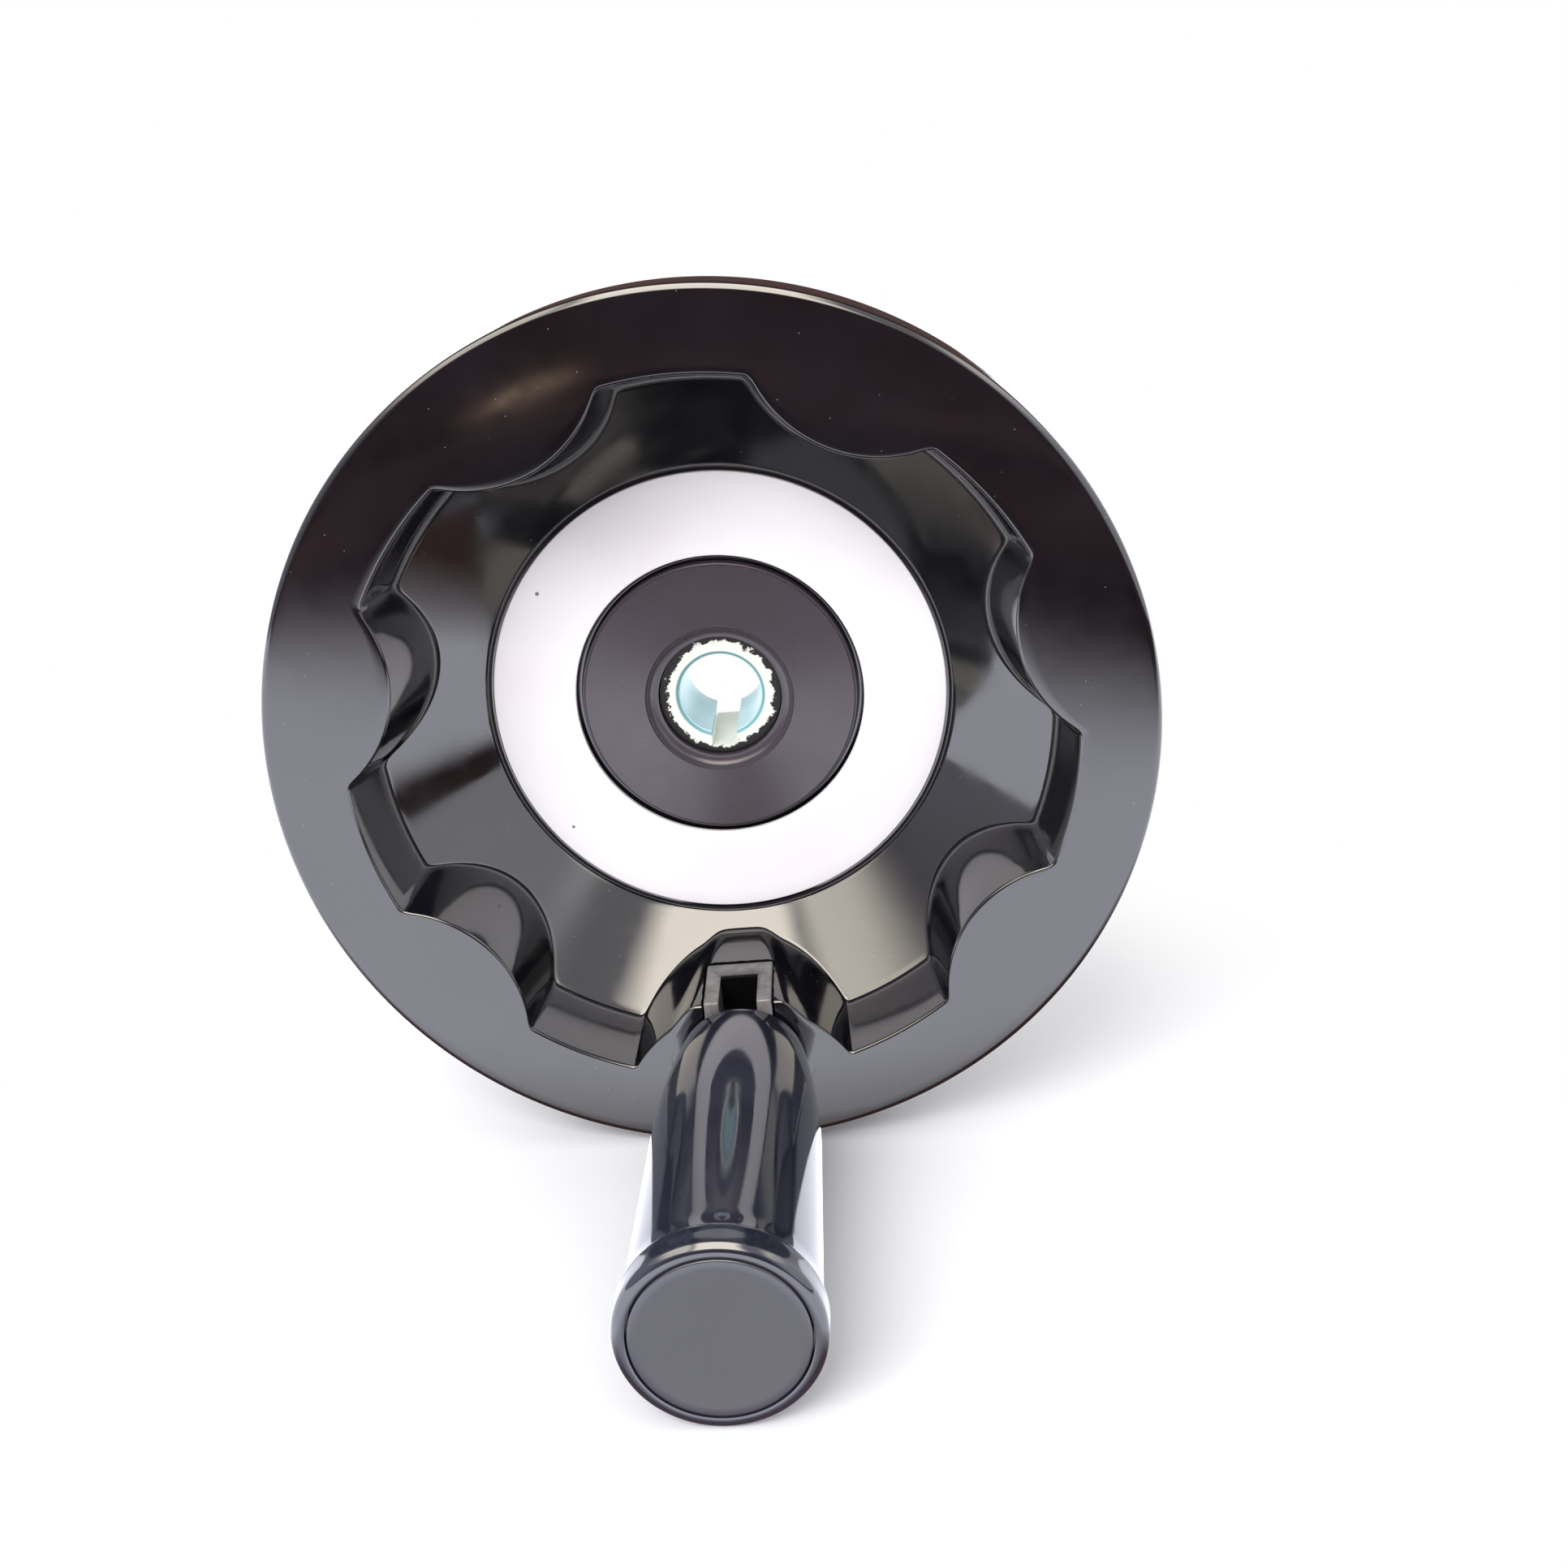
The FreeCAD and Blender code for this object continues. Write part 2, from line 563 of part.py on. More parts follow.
# Revolving grip
grip = body("grip")
turned(grip, "Grip", [
    ("collar_dia / 2 + slide_fit", GRIP_BASE),
    ("base_dia / 2 - base_round", GRIP_BASE),
    ("base_dia / 2", f"{GRIP_BASE} + base_round", "base_round", 1),
    ("belly_dia / 2", "belly_end", "belly_radius", 1),
    ("neck_dia / 2", NECK_AT),
    ("flange_dia / 2 - flange_round", "grip_length - flange_thick", "flare_radius", -1),
    ("flange_dia / 2", "grip_length - flange_thick + flange_round", "flange_round", 1),
    ("flange_dia / 2", "grip_length - flange_round"),
    ("flange_dia / 2 - flange_round", "grip_length", "flange_round", 1),
    ("cap_dia / 2 + cap_gap", "grip_length"),
    ("cap_dia / 2 + cap_gap", CAP_SEAT),
    ("chamber_dia / 2", CAP_SEAT),
    ("chamber_dia / 2", JOURNAL_END),
    ("sleeve_dia / 2 + slide_fit", JOURNAL_END),
    ("sleeve_dia / 2 + slide_fit", f"{GRIP_BASE} + collar_thick + slide_fit"),
    ("collar_dia / 2 + slide_fit", f"{GRIP_BASE} + collar_thick + slide_fit"),
])
on_handle_axis(grip)

cap = body("end_cap")
turned(cap, "Cap", [
    ("0", CAP_SEAT),
    ("chamber_dia / 2 - spigot_wall", CAP_SEAT),
    ("chamber_dia / 2 - spigot_wall", f"{CAP_SEAT} - spigot_length"),
    ("chamber_dia / 2", f"{CAP_SEAT} - spigot_length"),
    ("chamber_dia / 2", CAP_SEAT),
    ("cap_dia / 2", CAP_SEAT),
    ("cap_dia / 2", "grip_length - cap_edge"),
    ("cap_dia / 2 - cap_edge", "grip_length"),
    ("0", "grip_length"),
])
on_handle_axis(cap)

# Every object is looked at before anything is written
doc.recompute()
for part in doc.Objects:
    if "Invalid" in part.State or "Error" in part.State:
        raise SystemExit(f"{part.Name} failed: {part.State}")
nodes = [wheel, ring, bush, fork, pin, spindle, washer, nut, spring, sleeve, clip, grip, cap]
for part in nodes:
    if part.Shape.isNull() or not part.Shape.isValid() or len(part.Shape.Solids) != 1:
        raise SystemExit(f"{part.Label} has no single valid solid")
os.makedirs("parts", exist_ok=True)
for part in nodes:
    part.Shape.exportStep(f"parts/{part.Label}.step")
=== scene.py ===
"""Looks of the machine handwheel: a glossy moulded wheel with a wave inside its rim and a fold-away handle."""

import logging
import math
from dataclasses import dataclass
from enum import Enum
from typing import Iterable, Optional, Sequence

import bpy
import numpy as np
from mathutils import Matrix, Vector

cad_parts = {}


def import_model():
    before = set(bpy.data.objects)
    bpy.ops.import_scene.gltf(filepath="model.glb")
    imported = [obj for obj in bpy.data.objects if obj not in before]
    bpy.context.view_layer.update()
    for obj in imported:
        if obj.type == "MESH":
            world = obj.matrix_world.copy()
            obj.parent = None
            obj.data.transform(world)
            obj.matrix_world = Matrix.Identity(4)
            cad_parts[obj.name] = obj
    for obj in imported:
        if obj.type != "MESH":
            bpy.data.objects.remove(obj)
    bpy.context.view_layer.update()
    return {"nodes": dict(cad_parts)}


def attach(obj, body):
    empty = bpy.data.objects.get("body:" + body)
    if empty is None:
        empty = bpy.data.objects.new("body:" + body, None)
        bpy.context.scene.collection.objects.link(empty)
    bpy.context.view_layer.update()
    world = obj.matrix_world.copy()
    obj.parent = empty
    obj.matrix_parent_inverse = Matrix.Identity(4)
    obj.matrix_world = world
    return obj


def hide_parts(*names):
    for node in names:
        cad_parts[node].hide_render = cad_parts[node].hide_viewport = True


LOG = logging.getLogger("handwheel")
MM = 0.001
Point = tuple[float, float]


class Body(Enum):
    """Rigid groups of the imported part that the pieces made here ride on."""

    WHEEL = "wheel"
    GRIP = "grip"


class Side(Enum):
    """Which side of the way from one profile point to the next an arc's centre lies on."""

    LEFT = 1
    RIGHT = -1


def linear(code: str, alpha: float = 1.0) -> tuple[float, float, float, float]:
    """Turns an sRGB hex value into linear light.

    Args:
        code: six hex digits, such as "1a1b20".
        alpha: opacity that goes with it.

    Returns:
        Linear red, green, blue and alpha.
    """
    parts = [int(code[i:i + 2], 16) / 255 for i in (0, 2, 4)]
    red, green, blue = (c / 12.92 if c <= 0.04045 else ((c + 0.055) / 1.055) ** 2.4 for c in parts)
    return red, green, blue, alpha


def set_stops(band: bpy.types.ColorRamp, stops: Sequence[tuple[float, str]]) -> None:
    """Gives a colour ramp its stops.

    Args:
        band: the ramp's colours.
        stops: places from 0 to 1 with their sRGB hex colours.
    """
    while len(band.elements) < len(stops):
        band.elements.new(0.5)
    for element, (place, code) in zip(band.elements, stops):
        element.position = place
        element.color = linear(code)


def add_node(tree: bpy.types.NodeTree, kind: str, settings: Optional[dict] = None,
             links: Optional[dict] = None) -> bpy.types.Node:
    """Adds a node with its settings and links.

    Args:
        tree: node tree that gets the node.
        kind: Blender's name of the node type.
        settings: attribute names, or input names and numbers, with their values. "stops" are a ramp's.
        links: input names or numbers with the output socket each is fed from.

    Returns:
        The new node.
    """
    node = tree.nodes.new(kind)
    for key, value in (settings or {}).items():
        if key == "stops":
            set_stops(node.color_ramp, value)
        elif isinstance(key, str) and hasattr(node, key):
            setattr(node, key, value)
        else:
            node.inputs[key].default_value = value
    for key, socket in (links or {}).items():
        tree.links.new(socket, node.inputs[key])
    return node


def new_material(name: str) -> tuple[bpy.types.Material, bpy.types.NodeTree, bpy.types.Node]:
    """Makes an empty node material with its output.

    Args:
        name: name of the finish.

    Returns:
        The material, its node tree and its output node.
    """
    material = bpy.data.materials.new(name)
    material.use_nodes = True
    material.node_tree.nodes.clear()
    return material, material.node_tree, add_node(material.node_tree, "ShaderNodeOutputMaterial")


def axis_distance(tree: bpy.types.NodeTree, parts: bpy.types.Node) -> bpy.types.NodeSocket:
    """Adds nodes that measure how far a place lies from the wheel's axis.

    Args:
        tree: node tree that gets them.
        parts: node with the place's separate X, Y and Z.

    Returns:
        The socket with the distance in metres.
    """
    flat = add_node(tree, "ShaderNodeCombineXYZ", links={0: parts.outputs[0], 2: parts.outputs[2]})
    return add_node(tree, "ShaderNodeVectorMath", {"operation": "LENGTH"}, {0: flat.outputs[0]}).outputs["Value"]


def dress(piece: bpy.types.Object, material: bpy.types.Material) -> None:
    """Gives an object one finish in all its material slots.

    Args:
        piece: the object.
        material: its finish.
    """
    if not piece.material_slots:
        piece.data.materials.append(material)
    for slot in piece.material_slots:
        slot.material = material


# Finishes


@dataclass(frozen=True)
class MouldedPhenolic:
    """Compression-moulded phenolic resin: near black, mirror glossy from the polished mould, faintly wavy."""

    name: str = "moulded_phenolic"
    deep: str = "09090e"
    lifted: str = "131219"
    faced: str = "433b43"
    faced_radius_mm: float = 0.0
    ior: float = 1.9
    roughness: float = 0.06
    wave_mm: float = 9.0
    wave_height_mm: float = 0.015
    dust: str = "77767a"
    dust_spacing_mm: float = 3.2
    dust_mm: float = 0.2
    flow_mm: float = 24.0
    smear_mm: float = 6.0

    def build(self) -> bpy.types.Material:
        """Makes the material: flow shades, specks of pale dust and, where asked for, a duller faced centre.

        Returns:
            The material.
        """
        material, tree, out = new_material(self.name)
        place = add_node(tree, "ShaderNodeTexCoord").outputs["Object"]
        flow = add_node(tree, "ShaderNodeTexNoise",
                        {"Scale": 1 / (self.flow_mm * MM), "Detail": 3.0, "Roughness": 0.55}, {"Vector": place})
        shade = add_node(tree, "ShaderNodeValToRGB", {"stops": [(0.35, self.deep), (0.7, self.lifted)]},
                         {0: flow.outputs["Fac"]})
        parts = add_node(tree, "ShaderNodeSeparateXYZ", links={0: place})
        radius = axis_distance(tree, parts)
        centre = add_node(tree, "ShaderNodeMath", {"operation": "LESS_THAN", 1: self.faced_radius_mm * MM},
                          {0: radius})
        faced = add_node(tree, "ShaderNodeMix", {"data_type": "RGBA", 7: linear(self.faced)},
                         {0: centre.outputs[0], 6: shade.outputs["Color"]})
        specks = add_node(tree, "ShaderNodeTexVoronoi", {"Scale": 1 / (self.dust_spacing_mm * MM)},
                          {"Vector": place})
        dust = add_node(tree, "ShaderNodeMath",
                        {"operation": "LESS_THAN", 1: self.dust_mm / self.dust_spacing_mm / 2},
                        {0: specks.outputs["Distance"]})
        colour = add_node(tree, "ShaderNodeMix", {"data_type": "RGBA", 7: linear(self.dust)},
                          {0: dust.outputs[0], 6: faced.outputs[2]})
        smear = add_node(tree, "ShaderNodeTexNoise", {"Scale": 1 / (self.smear_mm * MM), "Detail": 4.0},
                         {"Vector": place})
        gloss = add_node(tree, "ShaderNodeMapRange",
                         {1: 0.3, 2: 0.75, 3: self.roughness, 4: self.roughness + 0.06}, {0: smear.outputs["Fac"]})
        dull = add_node(tree, "ShaderNodeMath", {"operation": "MULTIPLY_ADD", 1: 0.2},
                        {0: centre.outputs[0], 2: gloss.outputs[0]})
        level = add_node(tree, "ShaderNodeMath", {"operation": "MULTIPLY_ADD", 1: -0.22, 2: 0.5},
                         {0: centre.outputs[0]})
        swell = add_node(tree, "ShaderNodeTexNoise", {"Scale": 1 / (self.wave_mm * MM), "Detail": 1.0},
                         {"Vector": place})
        bump = add_node(tree, "ShaderNodeBump", {"Strength": 1.0, "Distance": self.wave_height_mm * MM},
                        {"Height": swell.outputs["Fac"]})
        shader = add_node(tree, "ShaderNodeBsdfPrincipled", {"IOR": self.ior},
                          {"Base Color": colour.outputs[2], "Roughness": dull.outputs[0],
                           "Specular IOR Level": level.outputs[0], "Normal": bump.outputs["Normal"]})
        tree.links.new(shader.outputs[0], out.inputs["Surface"])
        return material


@dataclass(frozen=True)
class CapPlastic:
    """Injection-moulded cap: black nylon with a fine satin grain that takes a soft grey sheen."""

    name: str = "satin_cap_plastic"
    base: str = "34353d"
    lifted: str = "383941"
    ior: float = 1.78
    roughness: float = 0.24
    grain_mm: float = 0.5

    def build(self) -> bpy.types.Material:
        """Makes the material with its fine grain.

        Returns:
            The material.
        """
        material, tree, out = new_material(self.name)
        place = add_node(tree, "ShaderNodeTexCoord").outputs["Object"]
        grain = add_node(tree, "ShaderNodeTexNoise", {"Scale": 1 / (self.grain_mm * MM), "Detail": 2.0},
                         {"Vector": place})
        cloud = add_node(tree, "ShaderNodeTexNoise", {"Scale": 1 / (11 * MM), "Detail": 2.0},
                         {"Vector": place})
        shade = add_node(tree, "ShaderNodeValToRGB", {"stops": [(0.3, self.base), (0.75, self.lifted)]},
                         {0: cloud.outputs["Fac"]})
        gloss = add_node(tree, "ShaderNodeMapRange", {3: self.roughness, 4: self.roughness + 0.08},
                         {0: cloud.outputs["Fac"]})
        bump = add_node(tree, "ShaderNodeBump", {"Strength": 0.5, "Distance": 0.01 * MM},
                        {"Height": grain.outputs["Fac"]})
        shader = add_node(tree, "ShaderNodeBsdfPrincipled", {"IOR": self.ior},
                          {"Base Color": shade.outputs["Color"], "Roughness": gloss.outputs[0],
                           "Normal": bump.outputs["Normal"]})
        tree.links.new(shader.outputs[0], out.inputs["Surface"])
        return material


@dataclass(frozen=True)
class SatinAluminium:
    """Faced and anodised aluminium: almost white, with the fine rings of the lathe tool across it."""

    name: str = "satin_anodised_aluminium"
    base: str = "f6f3f6"
    warm: str = "efe9ee"
    roughness: float = 0.45
    metallic: float = 0.04
    ring_mm: float = 0.28
    pit: str = "77767a"
    pit_spacing_mm: float = 13.0
    cloud_mm: float = 30.0

    def build(self) -> bpy.types.Material:
        """Makes the material, with tool rings about the wheel's axis and a few dark pits.

        Returns:
            The material.
        """
        material, tree, out = new_material(self.name)
        place = add_node(tree, "ShaderNodeTexCoord").outputs["Object"]
        parts = add_node(tree, "ShaderNodeSeparateXYZ", links={0: place})
        radius = axis_distance(tree, parts)
        rings = add_node(tree, "ShaderNodeTexNoise",
                         {"noise_dimensions": "1D", "Scale": 1 / (self.ring_mm * MM), "Detail": 2.0},
                         {"W": radius})
        cloud = add_node(tree, "ShaderNodeTexNoise", {"Scale": 1 / (self.cloud_mm * MM), "Detail": 2.0},
                         {"Vector": place})
        tone = add_node(tree, "ShaderNodeValToRGB", {"stops": [(0.3, self.warm), (0.7, self.base)]},
                        {0: cloud.outputs["Fac"]})
        pits = add_node(tree, "ShaderNodeTexVoronoi", {"Scale": 1 / (self.pit_spacing_mm * MM)}, {"Vector": place})
        pit = add_node(tree, "ShaderNodeMath", {"operation": "LESS_THAN", 1: 0.03}, {0: pits.outputs["Distance"]})
        colour = add_node(tree, "ShaderNodeMix", {"data_type": "RGBA", 7: linear(self.pit)},
                          {0: pit.outputs[0], 6: tone.outputs["Color"]})
        bump = add_node(tree, "ShaderNodeBump", {"Strength": 0.35, "Distance": 0.006 * MM},
                        {"Height": rings.outputs["Fac"]})
        shader = add_node(tree, "ShaderNodeBsdfPrincipled",
                          {"Metallic": self.metallic, "Roughness": self.roughness},
                          {"Base Color": colour.outputs[2], "Normal": bump.outputs["Normal"]})
        tree.links.new(shader.outputs[0], out.inputs["Surface"])
        return material


@dataclass(frozen=True)
class MouldedInBush:
    """Free-cutting steel with thin black resin flash round its rim: pale worn face, cool blued bore."""

    name: str = "machined_steel_bush"
    face: str = "eeeee4"
    bore: str = "d8eef3"
    mouth: str = "7fb4bc"
    flash: str = "12100f"
    ragged_mm: float = 2.4
    finger_mm: float = 6.0
    flash_mm: float = 13.5
    front_mm: float = -20.8
    bore_mm: float = 7.0
    face_mm: float = 10.0
    scratch_mm: float = 0.4

    def build(self) -> bpy.types.Material:
        """Makes the material. The flash reaches ragged fingers in from the bush's outside.

        Returns:
            The material.
        """
        material, tree, out = new_material(self.name)
        place = add_node(tree, "ShaderNodeTexCoord").outputs["Object"]
        parts = add_node(tree, "ShaderNodeSeparateXYZ", links={0: place})
        radius = axis_distance(tree, parts)
        ragged = add_node(tree, "ShaderNodeTexNoise",
                          {"Scale": 1 / (self.ragged_mm * MM), "Detail": 6.0, "Roughness": 0.75}, {"Vector": place})
        reach = add_node(tree, "ShaderNodeMath", {"operation": "MULTIPLY_ADD", 1: self.finger_mm * MM},
                         {0: ragged.outputs["Fac"], 2: radius})
        over = add_node(tree, "ShaderNodeMath", {"operation": "GREATER_THAN", 1: self.flash_mm * MM},
                        {0: reach.outputs[0]})
        front = add_node(tree, "ShaderNodeMath", {"operation": "LESS_THAN", 1: self.front_mm * MM},
                         {0: parts.outputs[1]})
        edge = add_node(tree, "ShaderNodeMath", {"operation": "MULTIPLY"}, {0: over.outputs[0], 1: front.outputs[0]})
        share = add_node(tree, "ShaderNodeMapRange", {1: self.bore_mm * MM, 2: self.face_mm * MM}, {0: radius})
        metal = add_node(tree, "ShaderNodeValToRGB",
                         {"stops": [(0.36, self.bore), (0.40, self.mouth), (0.52, self.mouth), (0.60, self.face)]},
                         {0: share.outputs[0]})
        colour = add_node(tree, "ShaderNodeMix", {"data_type": "RGBA", 7: linear(self.flash)},
                          {0: edge.outputs[0], 6: metal.outputs["Color"]})
        scratch = add_node(tree, "ShaderNodeTexNoise", {"Scale": 1 / (self.scratch_mm * MM), "Detail": 3.0},
                           {"Vector": place})
        gloss = add_node(tree, "ShaderNodeMapRange", {3: 0.32, 4: 0.6}, {0: scratch.outputs["Fac"]})
        shine = add_node(tree, "ShaderNodeMath", {"operation": "MULTIPLY_ADD", 1: -0.15, 2: 0.15}, {0: edge.outputs[0]})
        bump = add_node(tree, "ShaderNodeBump", {"Strength": 0.4, "Distance": 0.02 * MM},
                        {"Height": scratch.outputs["Fac"]})
        shader = add_node(tree, "ShaderNodeBsdfPrincipled", {},
                          {"Base Color": colour.outputs[2], "Roughness": gloss.outputs[0],
                           "Metallic": shine.outputs[0], "Normal": bump.outputs["Normal"]})
        tree.links.new(shader.outputs[0], out.inputs["Surface"])
        return material


@dataclass(frozen=True)
class WornZinc:
    """Die-cast zinc with a dark oxide: greyish brown, rubbed pale along its edges and lightly pitted, with painted
    shade in its slot.
    """

    name: str = "dark_cast_zinc"
    oxide: str = "3c393b"
    rubbed: str = "a09c9b"
    # Near-black painted shade for the slot's walls and floor, where little light reaches
    painted_slot_shade: str = "0a090a"
    cloud_mm: float = 2.2
    pit_mm: float = 0.5
    slot_side_mm: Point = (3.65, 3.5)
    slot_floor_mm: Point = (-44.3, -43.8)

    def build(self) -> bpy.types.Material:
        """Makes the material, with wear where the mesh turns sharply and painted shade deep in the slot.

        Returns:
            The material.
        """
        material, tree, out = new_material(self.name)
        place = add_node(tree, "ShaderNodeTexCoord").outputs["Object"]
        shape = add_node(tree, "ShaderNodeNewGeometry")
        cloud = add_node(tree, "ShaderNodeTexNoise",
                         {"Scale": 1 / (self.cloud_mm * MM), "Detail": 4.0, "Roughness": 0.6}, {"Vector": place})
        wear = add_node(tree, "ShaderNodeMapRange", {1: 0.505, 2: 0.54}, {0: shape.outputs["Pointiness"]})
        mixed = add_node(tree, "ShaderNodeMath", {"operation": "MULTIPLY"},
                         {0: wear.outputs[0], 1: cloud.outputs["Fac"]})
        colour = add_node(tree, "ShaderNodeMix", {"data_type": "RGBA", 6: linear(self.oxide), 7: linear(self.rubbed)},
                          {0: mixed.outputs[0]})
        # Painted shade: inside the slot's sides and in front of its floor the colour turns near black and reflects less
        parts = add_node(tree, "ShaderNodeSeparateXYZ", links={0: place})
        side = add_node(tree, "ShaderNodeMath", {"operation": "ABSOLUTE"}, {0: parts.outputs[0]})
        edge, within = (side_mm * MM for side_mm in self.slot_side_mm)
        inner = add_node(tree, "ShaderNodeMapRange", {1: edge, 2: within}, {0: side.outputs[0]})
        above, below = (floor_mm * MM for floor_mm in self.slot_floor_mm)
        deep = add_node(tree, "ShaderNodeMapRange", {1: above, 2: below, 3: 1.0, 4: 0.0}, {0: parts.outputs[1]})
        painted_slot_shade = add_node(tree, "ShaderNodeMath", {"operation": "MULTIPLY"}, {0: inner.outputs[0], 1: deep.outputs[0]})
        tone = add_node(tree, "ShaderNodeMix", {"data_type": "RGBA", 7: linear(self.painted_slot_shade)},
                        {0: painted_slot_shade.outputs[0], 6: colour.outputs[2]})
        dull = add_node(tree, "ShaderNodeMath", {"operation": "MULTIPLY_ADD", 1: -0.45, 2: 0.5}, {0: painted_slot_shade.outputs[0]})
        pits = add_node(tree, "ShaderNodeTexNoise", {"Scale": 1 / (self.pit_mm * MM), "Detail": 2.0},
                        {"Vector": place})
        bump = add_node(tree, "ShaderNodeBump", {"Strength": 0.6, "Distance": 0.05 * MM},
                        {"Height": pits.outputs["Fac"]})
        shader = add_node(tree, "ShaderNodeBsdfPrincipled", {"Metallic": 0.25, "Roughness": 0.45},
                          {"Base Color": tone.outputs[2], "Specular IOR Level": dull.outputs[0],
                           "Normal": bump.outputs["Normal"]})
        tree.links.new(shader.outputs[0], out.inputs["Surface"])
        return material


@dataclass(frozen=True)
class TurnedSteel:
    """Turned or drawn steel: grey metal with fine marks along the way that the tool or die ran."""

    name: str = "turned_steel"
    base: str = "b4b5b8"
    dark: str = "8f9196"
    roughness: float = 0.28
    mark_mm: float = 0.15

    def build(self) -> bpy.types.Material:
        """Makes the material with its tool marks.

        Returns:
            The material.
        """
        material, tree, out = new_material(self.name)
        place = add_node(tree, "ShaderNodeTexCoord").outputs["Object"]
        squeeze = add_node(tree, "ShaderNodeMapping", {"Scale": (0.2, 1.0, 0.2)}, {"Vector": place})
        marks = add_node(tree, "ShaderNodeTexNoise", {"Scale": 1 / (self.mark_mm * MM), "Detail": 2.0},
                         {"Vector": squeeze.outputs[0]})
        tone = add_node(tree, "ShaderNodeValToRGB", {"stops": [(0.3, self.dark), (0.7, self.base)]},
                        {0: marks.outputs["Fac"]})
        bump = add_node(tree, "ShaderNodeBump", {"Strength": 0.3, "Distance": 0.01 * MM},
                        {"Height": marks.outputs["Fac"]})
        shader = add_node(tree, "ShaderNodeBsdfPrincipled", {"Metallic": 1.0, "Roughness": self.roughness},
                          {"Base Color": tone.outputs["Color"], "Normal": bump.outputs["Normal"]})
        tree.links.new(shader.outputs[0], out.inputs["Surface"])
        return material


# Modelling helpers


def deselect_all() -> None:
    """Leaves edit mode and clears the selection."""
    if bpy.context.mode != "OBJECT":
        bpy.ops.object.mode_set(mode="OBJECT")
    bpy.ops.object.select_all(action="DESELECT")


def make_active(piece: bpy.types.Object) -> None:
    """Selects one object alone and makes it active.

    Args:
        piece: the object.
    """
    deselect_all()
    piece.select_set(True)
    bpy.context.view_layer.objects.active = piece


def arc_points(start: Point, end: Point, radius: float, side: Side, count: int) -> list[Point]:
    """Points along an arc, without its start.

    Args:
        start: first point, (radius, depth).
        end: last point.
        radius: radius of the arc.
        side: side of the way from start to end on which the centre lies.
        count: how many runs the arc is divided into.

    Returns:
        The points after start, the last one being end.
    """
    a, b = Vector(start), Vector(end)
    way = b - a
    left = Vector((-way.y, way.x)).normalized()
    centre = (a + b) / 2 + left * side.value * math.sqrt(max(radius ** 2 - (way.length / 2) ** 2, 0))
    first = math.atan2(*(a - centre).yx)
    turn = math.atan2(*(b - centre).yx) - first
    turn = (turn + math.pi) % (2 * math.pi) - math.pi
    return [(centre.x + radius * math.cos(first + turn * i / count),
             centre.y + radius * math.sin(first + turn * i / count)) for i in range(1, count + 1)]


def divided(start: Point, end: Point, count: int) -> list[Point]:
    """Points at even steps along a line, without its start."""
    return [(start[0] + (end[0] - start[0]) * i / count, start[1] + (end[1] - start[1]) * i / count)
            for i in range(1, count + 1)]


class Outline(list[Point]):
    """Lathe profile that grows from its last point."""

    def run(self, end: Point, count: int) -> None:
        """Adds even steps to a point."""
        self.extend(divided(self[-1], end, count))

    def arc(self, end: Point, radius: float, side: Side, count: int) -> None:
        """Adds an arc to a point."""
        self.extend(arc_points(self[-1], end, radius, side, count))


def spun(name: str, profile: Sequence[Point], steps: int, centre: tuple[float, float, float],
         closed: bool = True) -> bpy.types.Object:
    """Turns a profile about a line along Y, as on a lathe.

    Args:
        name: name of the piece.
        profile: points (radius, y) in metres. Radius 0 lies on the axis.
        steps: faces round the axis.
        centre: a point on the axis.
        closed: whether the last point is joined to the first.

    Returns:
        The piece, with its normals outwards.
    """
    deselect_all()
    first = profile[0]
    bpy.ops.mesh.primitive_plane_add(size=MM, location=(0, 0, 0))
    piece = bpy.context.object
    piece.name = piece.data.name = name
    bpy.ops.object.mode_set(mode="EDIT")
    bpy.ops.mesh.select_all(action="SELECT")
    bpy.ops.mesh.merge(type="CENTER")
    bpy.ops.transform.translate(value=(centre[0] + first[0], first[1], centre[2]))
    for before, after in zip(profile, list(profile[1:]) + ([first] if closed else [])):
        bpy.ops.mesh.extrude_region_move(
            TRANSFORM_OT_translate={"value": (after[0] - before[0], after[1] - before[1], 0)})
    bpy.ops.mesh.select_all(action="SELECT")
    bpy.ops.mesh.spin(steps=steps, angle=2 * math.pi, center=(centre[0], 0, centre[2]), axis=(0, 1, 0))
    bpy.ops.mesh.select_all(action="SELECT")
    bpy.ops.mesh.remove_doubles(threshold=1e-6)
    bpy.ops.mesh.normals_make_consistent(inside=False)
    bpy.ops.object.mode_set(mode="OBJECT")
    return piece


def smooth(piece: bpy.types.Object, degrees: float = 32) -> None:
    """Shades a piece smooth, with sharp edges past an angle."""
    make_active(piece)
    bpy.ops.object.shade_smooth_by_angle(angle=math.radians(degrees))


def block(name: str, low: Sequence[float], high: Sequence[float]) -> bpy.types.Object:
    """A box between two corners, as the start of a piece or a cutter.

    Args:
        name: name of the box.
        low: its lowest corner in metres.
        high: its highest corner.

    Returns:
        The box, with its place in its mesh.
    """
    deselect_all()
    bpy.ops.mesh.primitive_cube_add(size=1, location=(0, 0, 0))
    piece = bpy.context.object
    piece.name = piece.data.name = name
    bpy.ops.object.mode_set(mode="EDIT")
    bpy.ops.mesh.select_all(action="SELECT")
    bpy.ops.transform.resize(value=tuple(h - l for l, h in zip(low, high)))
    bpy.ops.transform.translate(value=tuple((l + h) / 2 for l, h in zip(low, high)))
    bpy.ops.object.mode_set(mode="OBJECT")
    return piece


def cut(piece: bpy.types.Object, cutter: bpy.types.Object) -> None:
    """Takes one shape out of another and deletes the cutter.

    Args:
        piece: the shape that is cut.
        cutter: the shape that is taken out of it.
    """
    make_active(piece)
    modifier = piece.modifiers.new("cut", "BOOLEAN")
    modifier.operation = "DIFFERENCE"
    modifier.solver = "EXACT"
    modifier.object = cutter
    bpy.ops.object.modifier_apply(modifier=modifier.name)
    bpy.data.objects.remove(cutter)


